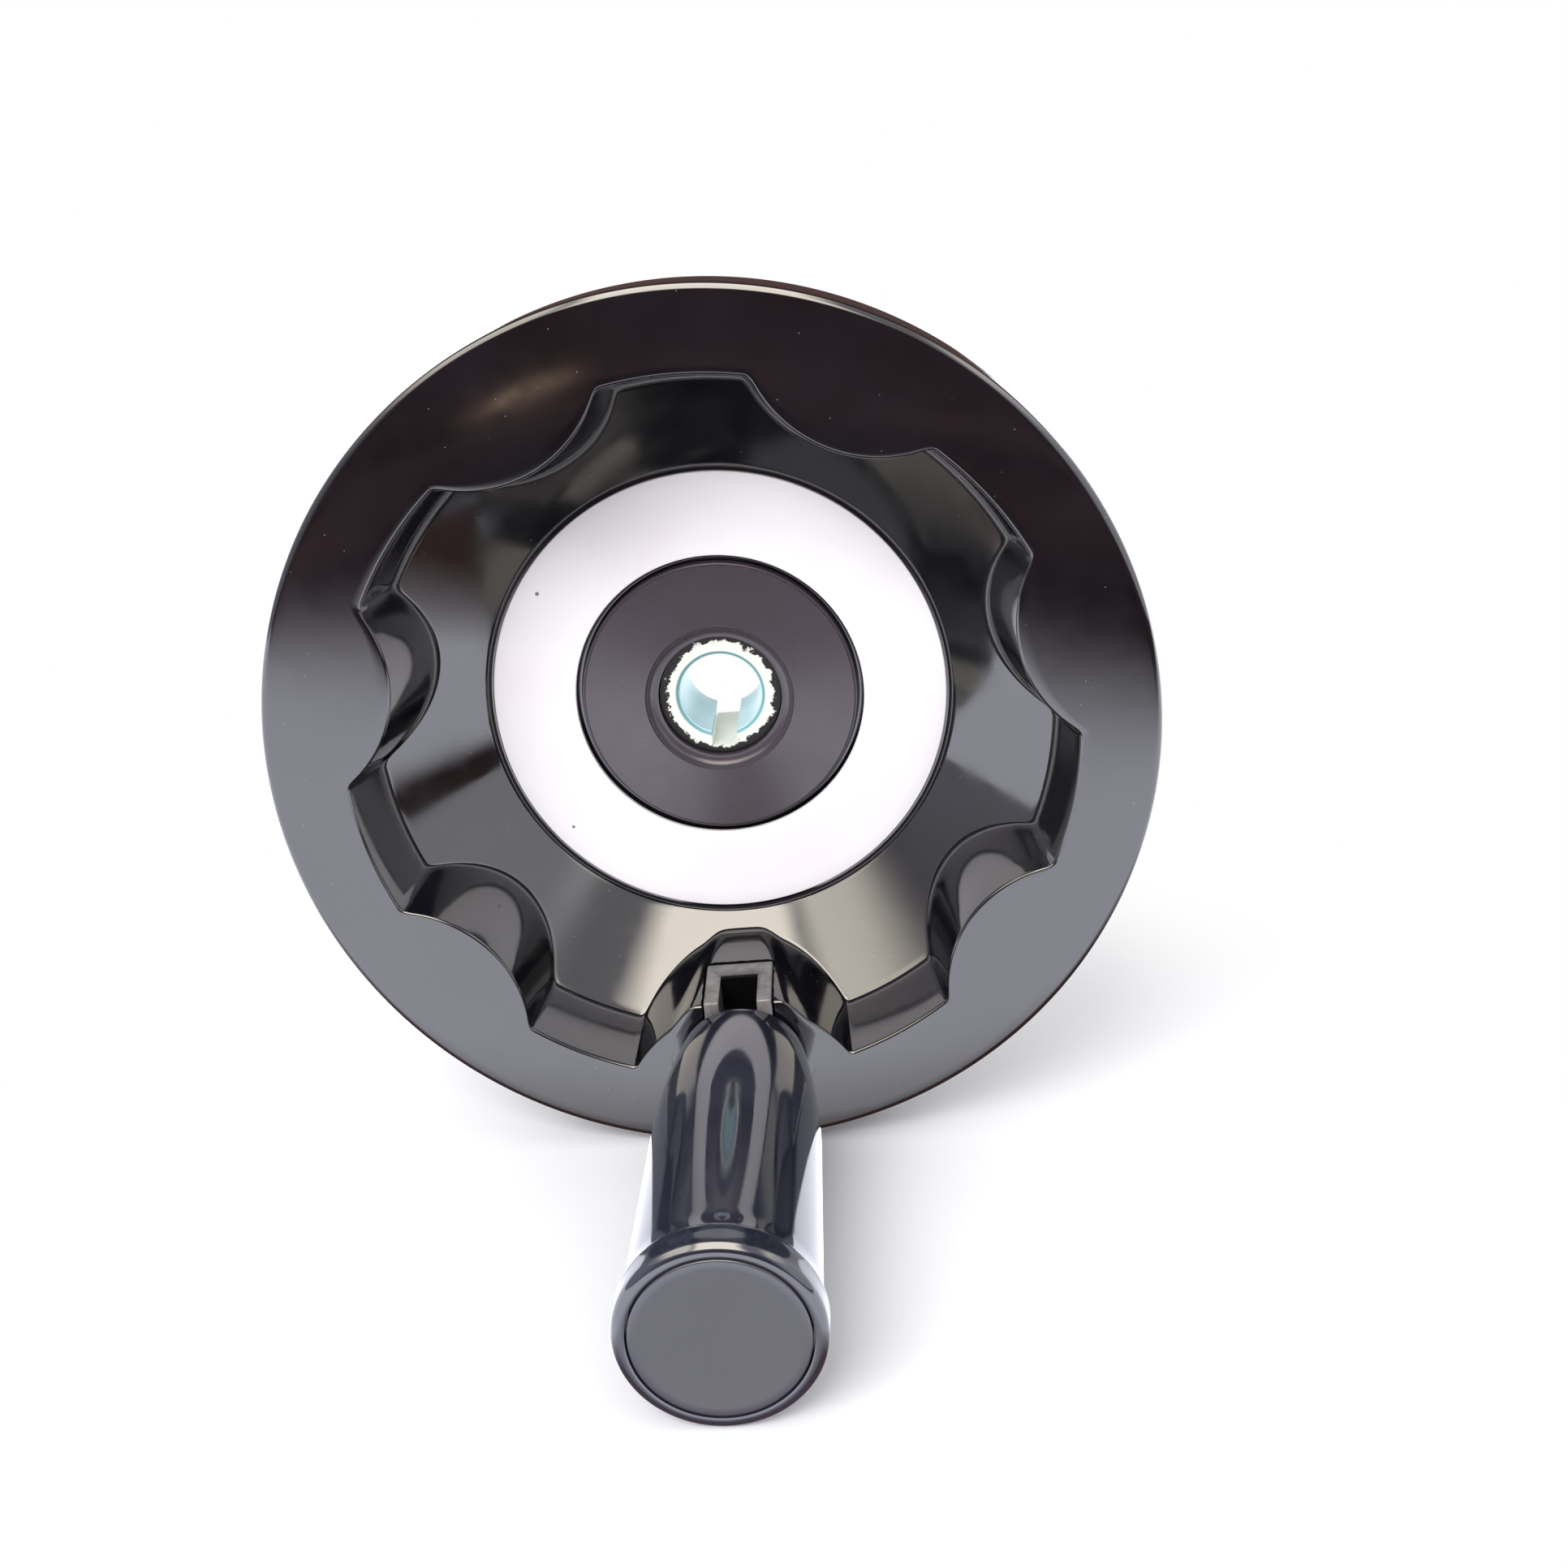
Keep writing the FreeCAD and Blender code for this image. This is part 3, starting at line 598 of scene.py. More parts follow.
def edge_rounds(piece: bpy.types.Object, width: float, segments: int = 3, degrees: float = 35) -> None:
    """Rounds a piece's sharp edges with an applied bevel.

    Args:
        piece: the piece.
        width: the bevel's width in metres.
        segments: faces across it.
        degrees: angle past which an edge is sharp.
    """
    make_active(piece)
    modifier = piece.modifiers.new("rounds", "BEVEL")
    modifier.width = width
    modifier.segments = segments
    modifier.limit_method = "ANGLE"
    modifier.angle_limit = math.radians(degrees)
    modifier.harden_normals = False
    bpy.ops.object.modifier_apply(modifier=modifier.name)


def fitted(piece: bpy.types.Object, body: Body, nodes: Iterable[str],
           material: bpy.types.Material) -> None:
    """Dresses a finished piece, lets it ride and hides the solids that it replaces.

    Args:
        piece: the piece.
        body: the body that it rides on.
        nodes: the solids that it replaces.
        material: its finish.
    """
    dress(piece, material)
    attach(piece, body.value)
    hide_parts(*nodes)
    LOG.info("%s: %d vertices", piece.name, len(piece.data.vertices))


# The wheel


@dataclass
class Wheel:
    """Moulded wheel: rim, wave of seven lobes, web, pit, hub and the pocket of the hinge.

    Sizes are in millimetres. Depth runs from the rim face to the back, and the hub's back face is at 55.
    """

    depth: float = 55
    radius: float = 80
    rim_depth: float = 14
    heel: float = 6
    rim_edge: float = 1.4
    crown: float = 0.7
    wave: float = 65.3
    lobes: int = 7
    lobe_radius: float = 23.5
    lobe_reach: float = 8.5
    corner: float = 1.5
    wave_edge: float = 0.6
    draft: float = math.radians(7)
    own_draft: float = math.radians(3.5)
    wall_depth: float = 16.5
    foot_round: float = 1.2
    pit_edge: Point = (45.0, 31.5)
    pit_round: float = 2
    pit_floor: Point = (44.4, 32.6)
    back_edge: Point = (48.4, 25.3)
    web_wall: float = 6.5
    plate: float = 10
    hub: float = 22
    bush: float = 12
    ring_seat: Point = (27.95, 44.1)
    ring_sink: float = 0.4
    handle_at: float = 62.6
    fork_front: float = 50.1
    fork_back: float = 71.0
    fork_depth: float = 15.6
    fork_half: float = 6.4
    pad_rise: float = 0.5
    pad_half: float = 5.4
    pad_open: float = 4.6
    pad_blend: float = 4.4
    seat: float = 13.5
    seat_depth: float = 0.8
    gap: float = 0.42
    ragged: float = 0.3
    steps: int = 700
    rows_face: int = 10
    rows_edge: int = 5
    rows_wall: int = 8
    rows_foot: int = 4
    rows_web: int = 44

    @property
    def crown_top(self) -> float:
        """Radius at which the rim face stands highest."""
        return self.wave - self.lobe_reach - 2

    def face_fall(self, radius: np.ndarray) -> np.ndarray:
        """How far the convex rim face lies behind its highest ring.

        Args:
            radius: distances from the axis in millimetres.

        Returns:
            The depths there.
        """
        bend = ((self.radius - self.rim_edge - self.crown_top) ** 2 + self.crown ** 2) / (2 * self.crown)
        out = np.maximum(radius - self.crown_top, 0)
        return bend - np.sqrt(bend ** 2 - out ** 2)

    def wave_radius(self, angle: np.ndarray, depth: np.ndarray) -> np.ndarray:
        """Radius of the wavy wall.

        Args:
            angle: direction from the handle's own, in radians.
            depth: depth below the rim face in millimetres.

        Returns:
            The radius of the wall there.
        """
        lean = math.tan(self.draft) * depth
        radius = self.wave - lean
        step = 2 * math.pi / self.lobes
        nearest = np.round(angle / step)
        off = angle - nearest * step
        own = nearest % self.lobes == 0
        centre = np.where(own, self.fork_front + self.pad_rise + self.lobe_radius,
                          self.wave - self.lobe_reach + self.lobe_radius)
        own_lean = math.tan(self.own_draft) * depth
        reach = self.lobe_radius + np.where(own, own_lean, lean)
        inside = reach ** 2 - (centre * np.sin(off)) ** 2
        lobe = np.where(inside > 0, centre * np.cos(off) - np.sqrt(np.maximum(inside, 0)), self.wave + 30)
        lobe = np.where((inside <= 0), centre * np.cos(off) + 40 * (-inside) ** 0.5 / reach, lobe)
        close = np.clip(0.5 + 0.5 * (lobe - radius) / self.corner, 0, 1)
        joined = lobe * (1 - close) + radius * close - self.corner * close * (1 - close)
        front = (self.fork_front - own_lean) / np.maximum(np.cos(off), 0.2)
        half = self.pad_half + self.pad_open * (1 - depth / 28)
        flank = np.clip((half + self.pad_blend / 2 - np.abs(front * np.sin(off))) / self.pad_blend, 0, 1)
        flank = flank * flank * (3 - 2 * flank)
        pad = np.where(own, joined + (front - joined) * flank, joined)
        return np.minimum(joined, pad)

    def dish_line(self) -> np.ndarray:
        """Section of the web and the pit without the wave, as close points (radius, depth).

        Returns:
            The points, from beyond the wall's foot inwards.
        """
        lean = math.tan(self.draft)
        foot = (self.wave - lean * self.wall_depth, self.wall_depth)
        corner, floor = Vector(self.pit_edge), Vector(self.pit_floor)
        up = (Vector(foot) - corner).normalized()
        down = (floor - corner).normalized()
        half = up.angle(down) / 2
        run = self.pit_round / math.tan(half)
        start, end = corner + up * run, corner + down * run
        top = (foot[0] + up.x * 3, foot[1] + up.y * 3)
        line = [top] + divided(top, tuple(start), 160)
        line += arc_points(tuple(start), tuple(end), self.pit_round, Side.RIGHT, 60)
        line += divided(tuple(end), tuple(floor), 60)
        return np.array(line)

    def reference(self) -> list[Point]:
        """Lathe profile (radius, depth) from the bush's back round the outside to the rim face.

        Returns:
            The points, up to the rim face's outer edge.
        """
        foot = self.wave - math.tan(self.draft) * self.wall_depth
        slope = (self.back_edge[1] - self.wall_depth) / (foot - self.back_edge[0])
        drop = self.web_wall * math.sqrt(1 + slope ** 2)
        plate_back = self.pit_floor[1] + self.plate
        heel_depth = self.rim_depth + self.heel
        bowl = (self.back_edge[0] + self.web_wall + 0.9, self.back_edge[1] - slope * self.web_wall + drop - 0.5)
        inner = (foot - (heel_depth - self.wall_depth - drop) / slope, heel_depth)
        line = Outline([(self.bush, self.depth)])
        line.run((self.hub - 0.8, self.depth), 4)
        line.arc((self.hub, self.depth - 0.8), 0.8, Side.RIGHT, 4)
        line.run((self.hub, plate_back + 2), 4)
        line.arc((self.hub + 2, plate_back), 2, Side.LEFT, 5)
        line.run((49.5, plate_back), 6)
        line.arc((50.5, plate_back - 0.7), 1.1, Side.RIGHT, 3)
        line.run((bowl[0] - 0.4, bowl[1] + 1.2), 5)
        line.arc((bowl[0] + 1.2, bowl[1] - 0.7), 2.6, Side.LEFT, 5)
        line.run((inner[0] - 1, inner[1] + slope), 6)
        line.run((self.radius - self.heel, heel_depth), 2)
        line.arc((self.radius, self.rim_depth), self.heel, Side.RIGHT, 8)
        line.run((self.radius, self.crown + self.rim_edge), 4)
        outer = self.radius - self.rim_edge
        line.arc((outer, float(self.face_fall(np.array([outer]))[0])), self.rim_edge, Side.RIGHT, 6)
        return line

    def wave_rows(self) -> list[tuple[str, float, Point]]:
        """Rows that follow the wave: what each becomes, how far along, and its place in the turned blank.

        Returns:
            Kind, share and place of each row.
        """
        counts = (("face", self.rows_face), ("edge", self.rows_edge), ("wall", self.rows_wall),
                  ("foot", self.rows_foot), ("web", self.rows_web))
        kinds = [(kind, i / count) for kind, count in counts for i in range(1, count + 1)]
        return [(kind, share, (self.radius - 3 - number * 0.4, 3 + number * 0.35))
                for number, (kind, share) in enumerate(kinds)]

    def centre_rows(self) -> list[Point]:
        """Profile (radius, depth) from the pit's floor in to the bush: ring seat, groove, disc and lip.

        Returns:
            The points.
        """
        floor = self.pit_floor[1]
        inner, outer = self.ring_seat
        line = Outline([(outer, floor), (outer, floor + self.ring_sink), (inner, floor + self.ring_sink),
                        (inner, floor + 1.6)])
        line.arc((26.75, floor + 1.6), 1.2, Side.RIGHT, 3)
        line.run((26.55, floor - 0.4), 3)
        line.arc((26.05, floor - 0.85), 0.5, Side.LEFT, 4)
        line.run((14.4, floor - 2.15), 6)
        line.arc((self.bush, floor - 0.2), 2.1, Side.LEFT, 8)
        line.run((self.bush, floor + 3), 2)
        return line

    def shape_wave(self, piece: bpy.types.Object) -> None:
        """Moves the noted rows of the turned blank onto the rim face, wall, web and pit.

        Args:
            piece: the turned blank.
        """
        mesh = piece.data
        count = len(mesh.vertices)
        places = np.empty(count * 3)
        mesh.vertices.foreach_get("co", places)
        places = places.reshape(-1, 3)
        flat = np.hypot(places[:, 0], places[:, 2]) / MM
        depth = self.depth + places[:, 1] / MM
        angle = np.arctan2(places[:, 0], -places[:, 2])
        line = self.dish_line()
        columns: dict[int, tuple[float, float, np.ndarray, np.ndarray]] = {}
        for kind, share, place in self.wave_rows():
            row = np.nonzero((np.abs(flat - place[0]) < 0.05) & (np.abs(depth - place[1]) < 0.05))[0]
            for i in row:
                key = round(angle[i] * 1e4)
                if key not in columns:
                    columns[key] = self.column(angle[i], line)
                radius, deep = self.row_place((kind, share), angle[i], *columns[key])
                places[i] = (radius * MM * math.sin(angle[i]), (deep - self.depth) * MM,
                             -radius * MM * math.cos(angle[i]))
        mesh.vertices.foreach_set("co", places.reshape(-1))
        mesh.update()

    def column(self, angle: float, line: np.ndarray) -> tuple[float, float, np.ndarray, np.ndarray]:
        """Section at one angle.

        Args:
            angle: direction from the handle's own.
            line: section of web and pit without the wave.

        Returns:
            Radius of the wave at the rim face, depth of the wall's foot, the web's line from there in, and
            its length up to each of its points.
        """
        wall = self.wave_radius(np.full(len(line), angle), line[:, 1])
        beyond = np.nonzero(line[:, 0] <= wall)[0]
        start = max(int(beyond[0]), 1) if len(beyond) else len(line) - 2
        a, b = line[start - 1], line[start]
        gap_a, gap_b = a[0] - wall[start - 1], b[0] - wall[start]
        share = gap_a / (gap_a - gap_b) if gap_a != gap_b else 0.5
        foot = a + (b - a) * min(max(share, 0), 1)
        edge = float(self.wave_radius(np.array([angle]), np.array([0.0]))[0])
        web = np.vstack([foot, line[start:]])
        return edge, float(foot[1]), web, np.concatenate([[0], np.cumsum(np.hypot(*np.diff(web, axis=0).T))])

    def row_place(self, noted: tuple[str, float], angle: float, edge: float, foot: float,
                  web: np.ndarray, length: np.ndarray) -> Point:
        """Radius and depth of one noted row at one angle.

        Args:
            noted: kind of row and share along it.
            angle: direction from the handle's own.
            edge: radius of the wave at the rim face.
            foot: depth of the wall's foot.
            web: the web's line from there in.
            length: its length up to each of its points.

        Returns:
            The place of the row's point.
        """
        kind, share = noted
        outer = self.radius - self.rim_edge
        lip = edge + self.wave_edge
        if kind == "face":
            radius = outer + (lip - outer) * share
            return radius, float(self.face_fall(np.array([radius]))[0])
        top = float(self.face_fall(np.array([lip]))[0])
        if kind == "edge":
            turn = share * math.pi / 2
            return edge + self.wave_edge * (1 - math.sin(turn)), top + self.wave_edge * (1 - math.cos(turn))
        run = min(self.foot_round, length[-1] / 3)
        if kind == "wall":
            deep = top + self.wave_edge + (foot - self.foot_round - top - self.wave_edge) * share
            return float(self.wave_radius(np.array([angle]), np.array([deep]))[0]), deep
        after = np.array([np.interp(run, length, web[:, 0]), np.interp(run, length, web[:, 1])])
        if kind == "foot":
            deep = foot - self.foot_round
            before = np.array([float(self.wave_radius(np.array([angle]), np.array([deep]))[0]), deep])
            t = share
            place = before * (1 - t) ** 2 + web[0] * 2 * t * (1 - t) + after * t ** 2
            return float(place[0]), float(place[1])
        at = run + (length[-1] - run) * share
        return float(np.interp(at, length, web[:, 0])), float(np.interp(at, length, web[:, 1]))

    def fork_pocket(self) -> bpy.types.Object:
        """Cutter for the fork's pocket, wider than the fork and chipped along its edges.

        Returns:
            The cutter.
        """
        lean = math.tan(self.own_draft)
        cutter = block("pocket_cutter",
                       [-(self.fork_half + self.gap) * MM, -(self.depth + 2) * MM, -(self.fork_back + self.gap) * MM],
                       [(self.fork_half + self.gap) * MM, (self.fork_depth + self.gap * 2 - self.depth) * MM,
                        -(self.fork_front - lean * self.fork_depth - 2.5) * MM])
        bpy.ops.object.mode_set(mode="EDIT")
        bpy.ops.mesh.select_all(action="SELECT")
        bpy.ops.mesh.subdivide(number_cuts=14)
        bpy.ops.transform.vertex_random(offset=self.ragged * MM, uniform=0.3, seed=4)
        bpy.ops.object.mode_set(mode="OBJECT")
        return cutter

    def build(self, phenolic: bpy.types.Material) -> None:
        """Turns the blank, shapes the wave and cuts the hinge's pocket and the grip's seat.

        Args:
            phenolic: the piece's finish.
        """
        rows = self.reference() + [place for _, _, place in self.wave_rows()] + self.centre_rows()
        profile = [(radius * MM, (depth - self.depth) * MM) for radius, depth in rows]
        piece = spun("wheel", profile, self.steps, (0, 0, 0))
        self.shape_wave(piece)
        cut(piece, self.fork_pocket())
        seat_line = [(0, -(self.depth - self.seat_depth) * MM), (self.seat * MM, -(self.depth - self.seat_depth) * MM),
                     (self.seat * MM, -(self.depth + 2) * MM), (0, -(self.depth + 2) * MM)]
        cut(piece, spun("seat_cutter", seat_line, 180, (0, 0, -self.handle_at * MM)))
        smooth(piece)
        fitted(piece, Body.WHEEL, ["wheel_body"], phenolic)


@dataclass
class Hub:
    """Ring on the pit's floor and steel bush with its keyway, in millimetres."""

    depth: float = 55
    ring: Point = (27.95, 43.9)
    ring_depth: Point = (33.0, 32.0)
    bush: float = 12
    bush_depth: float = 33.8
    bore: float = 8
    chamfer: float = 0.8
    key_half: float = 2.5
    key_floor: float = 10.3

    def build_ring(self, aluminium: bpy.types.Material) -> None:
        """Turns the ring, with its edges broken.

        Args:
            aluminium: the piece's finish.
        """
        inner, outer = self.ring
        back, front = self.ring_depth
        line = Outline([(inner, back), (outer, back), (outer, front + 0.25)])
        line.arc((outer - 0.25, front), 0.25, Side.RIGHT, 3)
        line.run((inner + 0.25, front), 6)
        line.arc((inner, front + 0.25), 0.25, Side.RIGHT, 3)
        piece = spun("bright_ring", [(r * MM, (d - self.depth) * MM) for r, d in line], 360, (0, 0, 0))
        smooth(piece)
        fitted(piece, Body.WHEEL, ["trim_ring"], aluminium)

    def build_bush(self, steel: bpy.types.Material) -> None:
        """Turns the bush and cuts its keyway towards the handle.

        Args:
            steel: the piece's finish.
        """
        line = Outline([(self.bore, self.depth), (self.bush, self.depth), (self.bush, self.bush_depth + 0.2)])
        line.run((self.bush - 0.2, self.bush_depth), 1)
        line.run((self.bore + self.chamfer, self.bush_depth), 4)
        line.run((self.bore, self.bush_depth + self.chamfer), 1)
        line += divided(line[-1], (self.bore, self.depth), 6)[:-1]
        piece = spun("keyed_bush", [(r * MM, (d - self.depth) * MM) for r, d in line], 180, (0, 0, 0))
        cut(piece, block("key_cutter", [-self.key_half * MM, -(self.depth) * MM, -self.key_floor * MM],
                         [self.key_half * MM, 2 * MM, -2 * MM]))
        edge_rounds(piece, 0.12 * MM, 2, 60)
        smooth(piece)
        fitted(piece, Body.WHEEL, ["hub_bush"], steel)


@dataclass
class Fork:
    """Cast fork in the handle's lobe, in millimetres."""

    depth: float = 55
    half: float = 6.4
    front: float = 50.1
    back: float = 71.0
    top: float = 0.8
    foot: float = 15.6
    lean: float = math.radians(3.5)
    slot_half: float = 3.55
    slot_depth: float = 10.4
    slot_back: float = 67.4

    def build(self, zinc: bpy.types.Material) -> None:
        """Models the block, leans its front with the lobe and mills the slot.

        Args:
            zinc: the piece's finish.
        """
        piece = block("hinge_fork_block", [-self.half * MM, (self.top - self.depth) * MM, -self.back * MM],
                      [self.half * MM, (self.foot - self.depth) * MM, -self.front * MM])
        for vertex in piece.data.vertices:
            if vertex.co.z > -(self.front + 1) * MM:
                deep = self.depth + vertex.co.y / MM
                vertex.co.z = -(self.front - math.tan(self.lean) * deep) * MM
        cut(piece, block("slot_cutter", [-self.slot_half * MM, -(self.depth + 2) * MM, -self.slot_back * MM],
                         [self.slot_half * MM, (self.slot_depth - self.depth) * MM, -(self.front - 8) * MM]))
        edge_rounds(piece, 0.35 * MM, 3)
        smooth(piece)
        fitted(piece, Body.WHEEL, ["hinge_fork"], zinc)


@dataclass
class Grip:
    """Revolving grip and its end cap, turned about the handle's axis, in millimetres in front of the rim face."""

    depth: float = 55
    axis: float = 62.6
    base: float = 12.1
    base_round: float = 2.0
    start: float = -0.5
    belly: Point = (14.9, 36)
    belly_radius: float = 190
    neck: Point = (15.2, 72.5)
    flare: float = 30
    flare_top: float = 15.6
    flange: float = 16.1
    flange_foot: float = 76.0
    flange_round: float = 1.5
    length: float = 82.4
    cap: float = 13.7
    cap_gap: float = 0.2
    cap_seat: float = 79.4
    chamber: float = 9.2
    steps: int = 256

    def turned(self, name: str, line: Sequence[Point]) -> bpy.types.Object:
        """Spins a profile (radius, height) about the handle's axis."""
        profile = [(r * MM, -(self.depth + h) * MM) for r, h in line]
        return spun(name, profile, self.steps, (0, 0, -self.axis * MM))

    def build_grip(self, phenolic: bpy.types.Material) -> None:
        """Turns the grip: rounded base, belly, neck, flare and rounded flange.

        Args:
            phenolic: the piece's finish.
        """
        line = Outline([(9.05, self.start), (self.base - self.base_round, self.start)])
        line.arc((self.base, self.start + self.base_round), self.base_round, Side.LEFT, 10)
        line.arc(self.belly, self.belly_radius, Side.LEFT, 30)
        line.run(self.neck, 24)
        line.arc((self.flare_top, self.flange_foot), self.flare, Side.RIGHT, 16)
        line.arc((self.flange, self.flange_foot + self.flange_round), self.flange_round, Side.LEFT, 8)
        line.run((self.flange, self.length - self.flange_round), 3)
        line.arc((self.flange - self.flange_round, self.length), self.flange_round, Side.LEFT, 8)
        lip = self.cap + self.cap_gap
        line.run((lip + 0.15, self.length), 2)
        line.arc((lip, self.length - 0.15), 0.15, Side.LEFT, 2)
        line.run((lip, self.cap_seat), 2)
        line += [(self.chamber, self.cap_seat), (self.chamber, 19.25), (7.05, 19.25), (7.05, 1.05), (9.05, 1.05)]
        piece = self.turned("revolving_grip", line)
        smooth(piece, 40)
        fitted(piece, Body.GRIP, ["grip"], phenolic)

    def build_cap(self, plastic: bpy.types.Material) -> None:
        """Turns the end cap, its face a hair hollow from moulding.

        Args:
            plastic: the piece's finish.
        """
        wall, spigot = 7.6, 74.4
        line = Outline([(0, self.cap_seat), (wall, self.cap_seat), (wall, spigot), (self.chamber, spigot),
                        (self.chamber, self.cap_seat), (self.cap, self.cap_seat)])
        line.run((self.cap, self.length - 0.4), 2)
        line.arc((self.cap - 0.4, self.length), 0.4, Side.LEFT, 4)
        line.arc((0, self.length - 0.12), 800, Side.RIGHT, 12)
        piece = self.turned("end_cap_disc", line)
        smooth(piece, 40)
        fitted(piece, Body.GRIP, ["end_cap"], plastic)


# The studio


# What glossy surfaces see overhead and round about, from the left of the wheel to its right
CEILING = ((0.10, "6b5f5c"), (0.17, "c2bcb0"), (0.30, "cfcabf"), (0.335, "898780"), (0.37, "fff6e8"),
           (0.63, "fff6e8"), (0.69, "605f60"), (0.79, "605f60"), (0.85, "b3b0a6"), (0.93, "7b7875"))
WALLS = ((0.04, "9c9ba3"), (0.16, "7d797e"), (0.26, "453633"), (0.72, "453633"), (0.86, "dddce3"))


@dataclass
class Studio:
    """Camera, pale floor, one soft lamp and the world, in metres in the part's frame."""

    camera_place: tuple[float, float, float] = (0.02772906, -0.35306702, 0.10024961)
    camera_turn: tuple[float, float, float] = (70.00758599, 4.79616826, 0.85301013)
    lens: float = 40.897698
    shift: tuple[float, float] = (-0.0063623, 0.00161976)
    floor_up: tuple[float, float, float] = (0.0420, 0.0158, 0.9990)
    floor_at: tuple[float, float, float] = (-0.0034, -0.055, -0.0799)
    floor_size: float = 6.0
    shadow_centre: tuple[float, float, float] = (0, -0.06, -0.08)
    shadow_reach: Point = (0.09, 0.165)
    near_edge: Point = (-0.52, -0.25)
    near_skew: float = -0.33
    near_facing: Point = (0.24, 0.46)
    glow_place: tuple[float, float, float] = (6.0, 4.0, 0)
    glow_scale: tuple[float, float, float] = (15.0, 2.0, 0)
    glow_reach: Point = (1.2, 0.1)
    far_level: float = 0.85
    near_level: float = 1.75
    glow_level: float = 2.2
    panel_height: Point = (0.42, 0.66)
    panel_back: Point = (0.55, 0.3)
    wall_level: float = 0.9
    panel_level: float = 5.6
    lamp_place: tuple[float, float, float] = (-0.35, -0.9, 0.75)
    lamp_aim: tuple[float, float, float] = (0, -0.05, 0)
    lamp_size: Point = (0.8, 0.6)
    lamp_watts: float = 12.0

    def place_camera(self) -> None:
        """Puts the camera where the photograph was taken from."""
        deselect_all()
        bpy.ops.object.camera_add(location=self.camera_place,
                                  rotation=tuple(math.radians(turn) for turn in self.camera_turn))
        camera = bpy.context.object
        camera.data.sensor_width = 36
        camera.data.lens = self.lens
        camera.data.shift_x, camera.data.shift_y = self.shift
        camera.data.clip_start = 0.01
        bpy.context.scene.camera = camera

    def lay_floor(self) -> None:
        """Lays the floor: white with a shadow to the camera, and pale near by and brown far off to the gloss."""
        deselect_all()
        turn = Vector((0, 0, 1)).rotation_difference(Vector(self.floor_up))
        bpy.ops.mesh.primitive_plane_add(size=self.floor_size, location=self.floor_at, rotation=turn.to_euler())
        floor = bpy.context.object
        floor.name = "studio_floor"
        material, tree, out = new_material("pale_floor")
        path = add_node(tree, "ShaderNodeLightPath")
        shape = add_node(tree, "ShaderNodeNewGeometry")
        offset = add_node(tree, "ShaderNodeVectorMath", {"operation": "SUBTRACT", 1: self.shadow_centre},
                          {0: shape.outputs["Position"]})
        away = add_node(tree, "ShaderNodeVectorMath", {"operation": "LENGTH"}, {0: offset.outputs[0]})
        clear = self.blend(tree, away.outputs["Value"], self.shadow_reach)
        lit = add_node(tree, "ShaderNodeBsdfDiffuse", {"Color": linear("efeff2")})
        white = add_node(tree, "ShaderNodeEmission", {"Color": linear("ffffff"), "Strength": 1.0})
        shown = add_node(tree, "ShaderNodeMixShader",
                         links={0: clear.outputs[0], 1: lit.outputs[0], 2: white.outputs[0]})
        parts = add_node(tree, "ShaderNodeSeparateXYZ", links={0: shape.outputs["Position"]})
        skewed = add_node(tree, "ShaderNodeMath", {"operation": "MULTIPLY_ADD", 1: self.near_skew},
                          {0: parts.outputs["X"], 2: parts.outputs["Y"]})
        near = self.blend(tree, skewed.outputs[0], self.near_edge)
        slant = add_node(tree, "ShaderNodeLayerWeight", {"Blend": 0.5})
        flat = self.blend(tree, slant.outputs["Facing"], self.near_facing, "LINEAR")
        bright = add_node(tree, "ShaderNodeMath", {"operation": "MULTIPLY"}, {0: near.outputs[0], 1: flat.outputs[0]})
        stretch = add_node(tree, "ShaderNodeMapping", {"Location": self.glow_place, "Scale": self.glow_scale},
                           {"Vector": shape.outputs["Position"]})
        spot = add_node(tree, "ShaderNodeVectorMath", {"operation": "LENGTH"}, {0: stretch.outputs[0]})
        glow = self.blend(tree, spot.outputs["Value"], self.glow_reach)
        patches = add_node(tree, "ShaderNodeTexNoise", {"Scale": 3.0, "Detail": 2.0},
                           {"Vector": shape.outputs["Position"]})
        room = add_node(tree, "ShaderNodeValToRGB", {"stops": [(0.35, "453b3c"), (0.65, "8d6a60")]},
                        {0: patches.outputs["Fac"]})
        seen = add_node(tree, "ShaderNodeMix", {"data_type": "RGBA", 7: linear("ffdcb4")},
                        {0: glow.outputs[0], 6: room.outputs["Color"]})
        tone = add_node(tree, "ShaderNodeMix", {"data_type": "RGBA", 7: linear("f2f4ff")},
                        {0: bright.outputs[0], 6: seen.outputs[2]})
        boost = add_node(tree, "ShaderNodeMath",
                         {"operation": "MULTIPLY_ADD", 1: self.near_level, 2: self.far_level}, {0: bright.outputs[0]})
        extra = add_node(tree, "ShaderNodeMath", {"operation": "MULTIPLY_ADD", 1: self.glow_level},
                         {0: glow.outputs[0], 2: boost.outputs[0]})
        mirrored = add_node(tree, "ShaderNodeEmission", {}, {"Color": tone.outputs[2], "Strength": extra.outputs[0]})
        mixed = add_node(tree, "ShaderNodeMixShader",
                         links={0: path.outputs["Is Glossy Ray"], 1: shown.outputs[0], 2: mirrored.outputs[0]})
        tree.links.new(mixed.outputs[0], out.inputs["Surface"])
        dress(floor, material)

    def blend(self, tree: bpy.types.NodeTree, source: bpy.types.NodeSocket, reach: Point,
              kind: str = "SMOOTHSTEP") -> bpy.types.Node:
        """Turns a measure into a share from 0 to 1.

        Args:
            tree: node tree that gets the node.
            source: socket with the measure.
            reach: the measure's values at share 0 and at share 1.
            kind: how the share runs between them.

        Returns:
            The node with the share.
        """
        return add_node(tree, "ShaderNodeMapRange", {1: reach[0], 2: reach[1], "interpolation_type": kind},
                        {0: source})

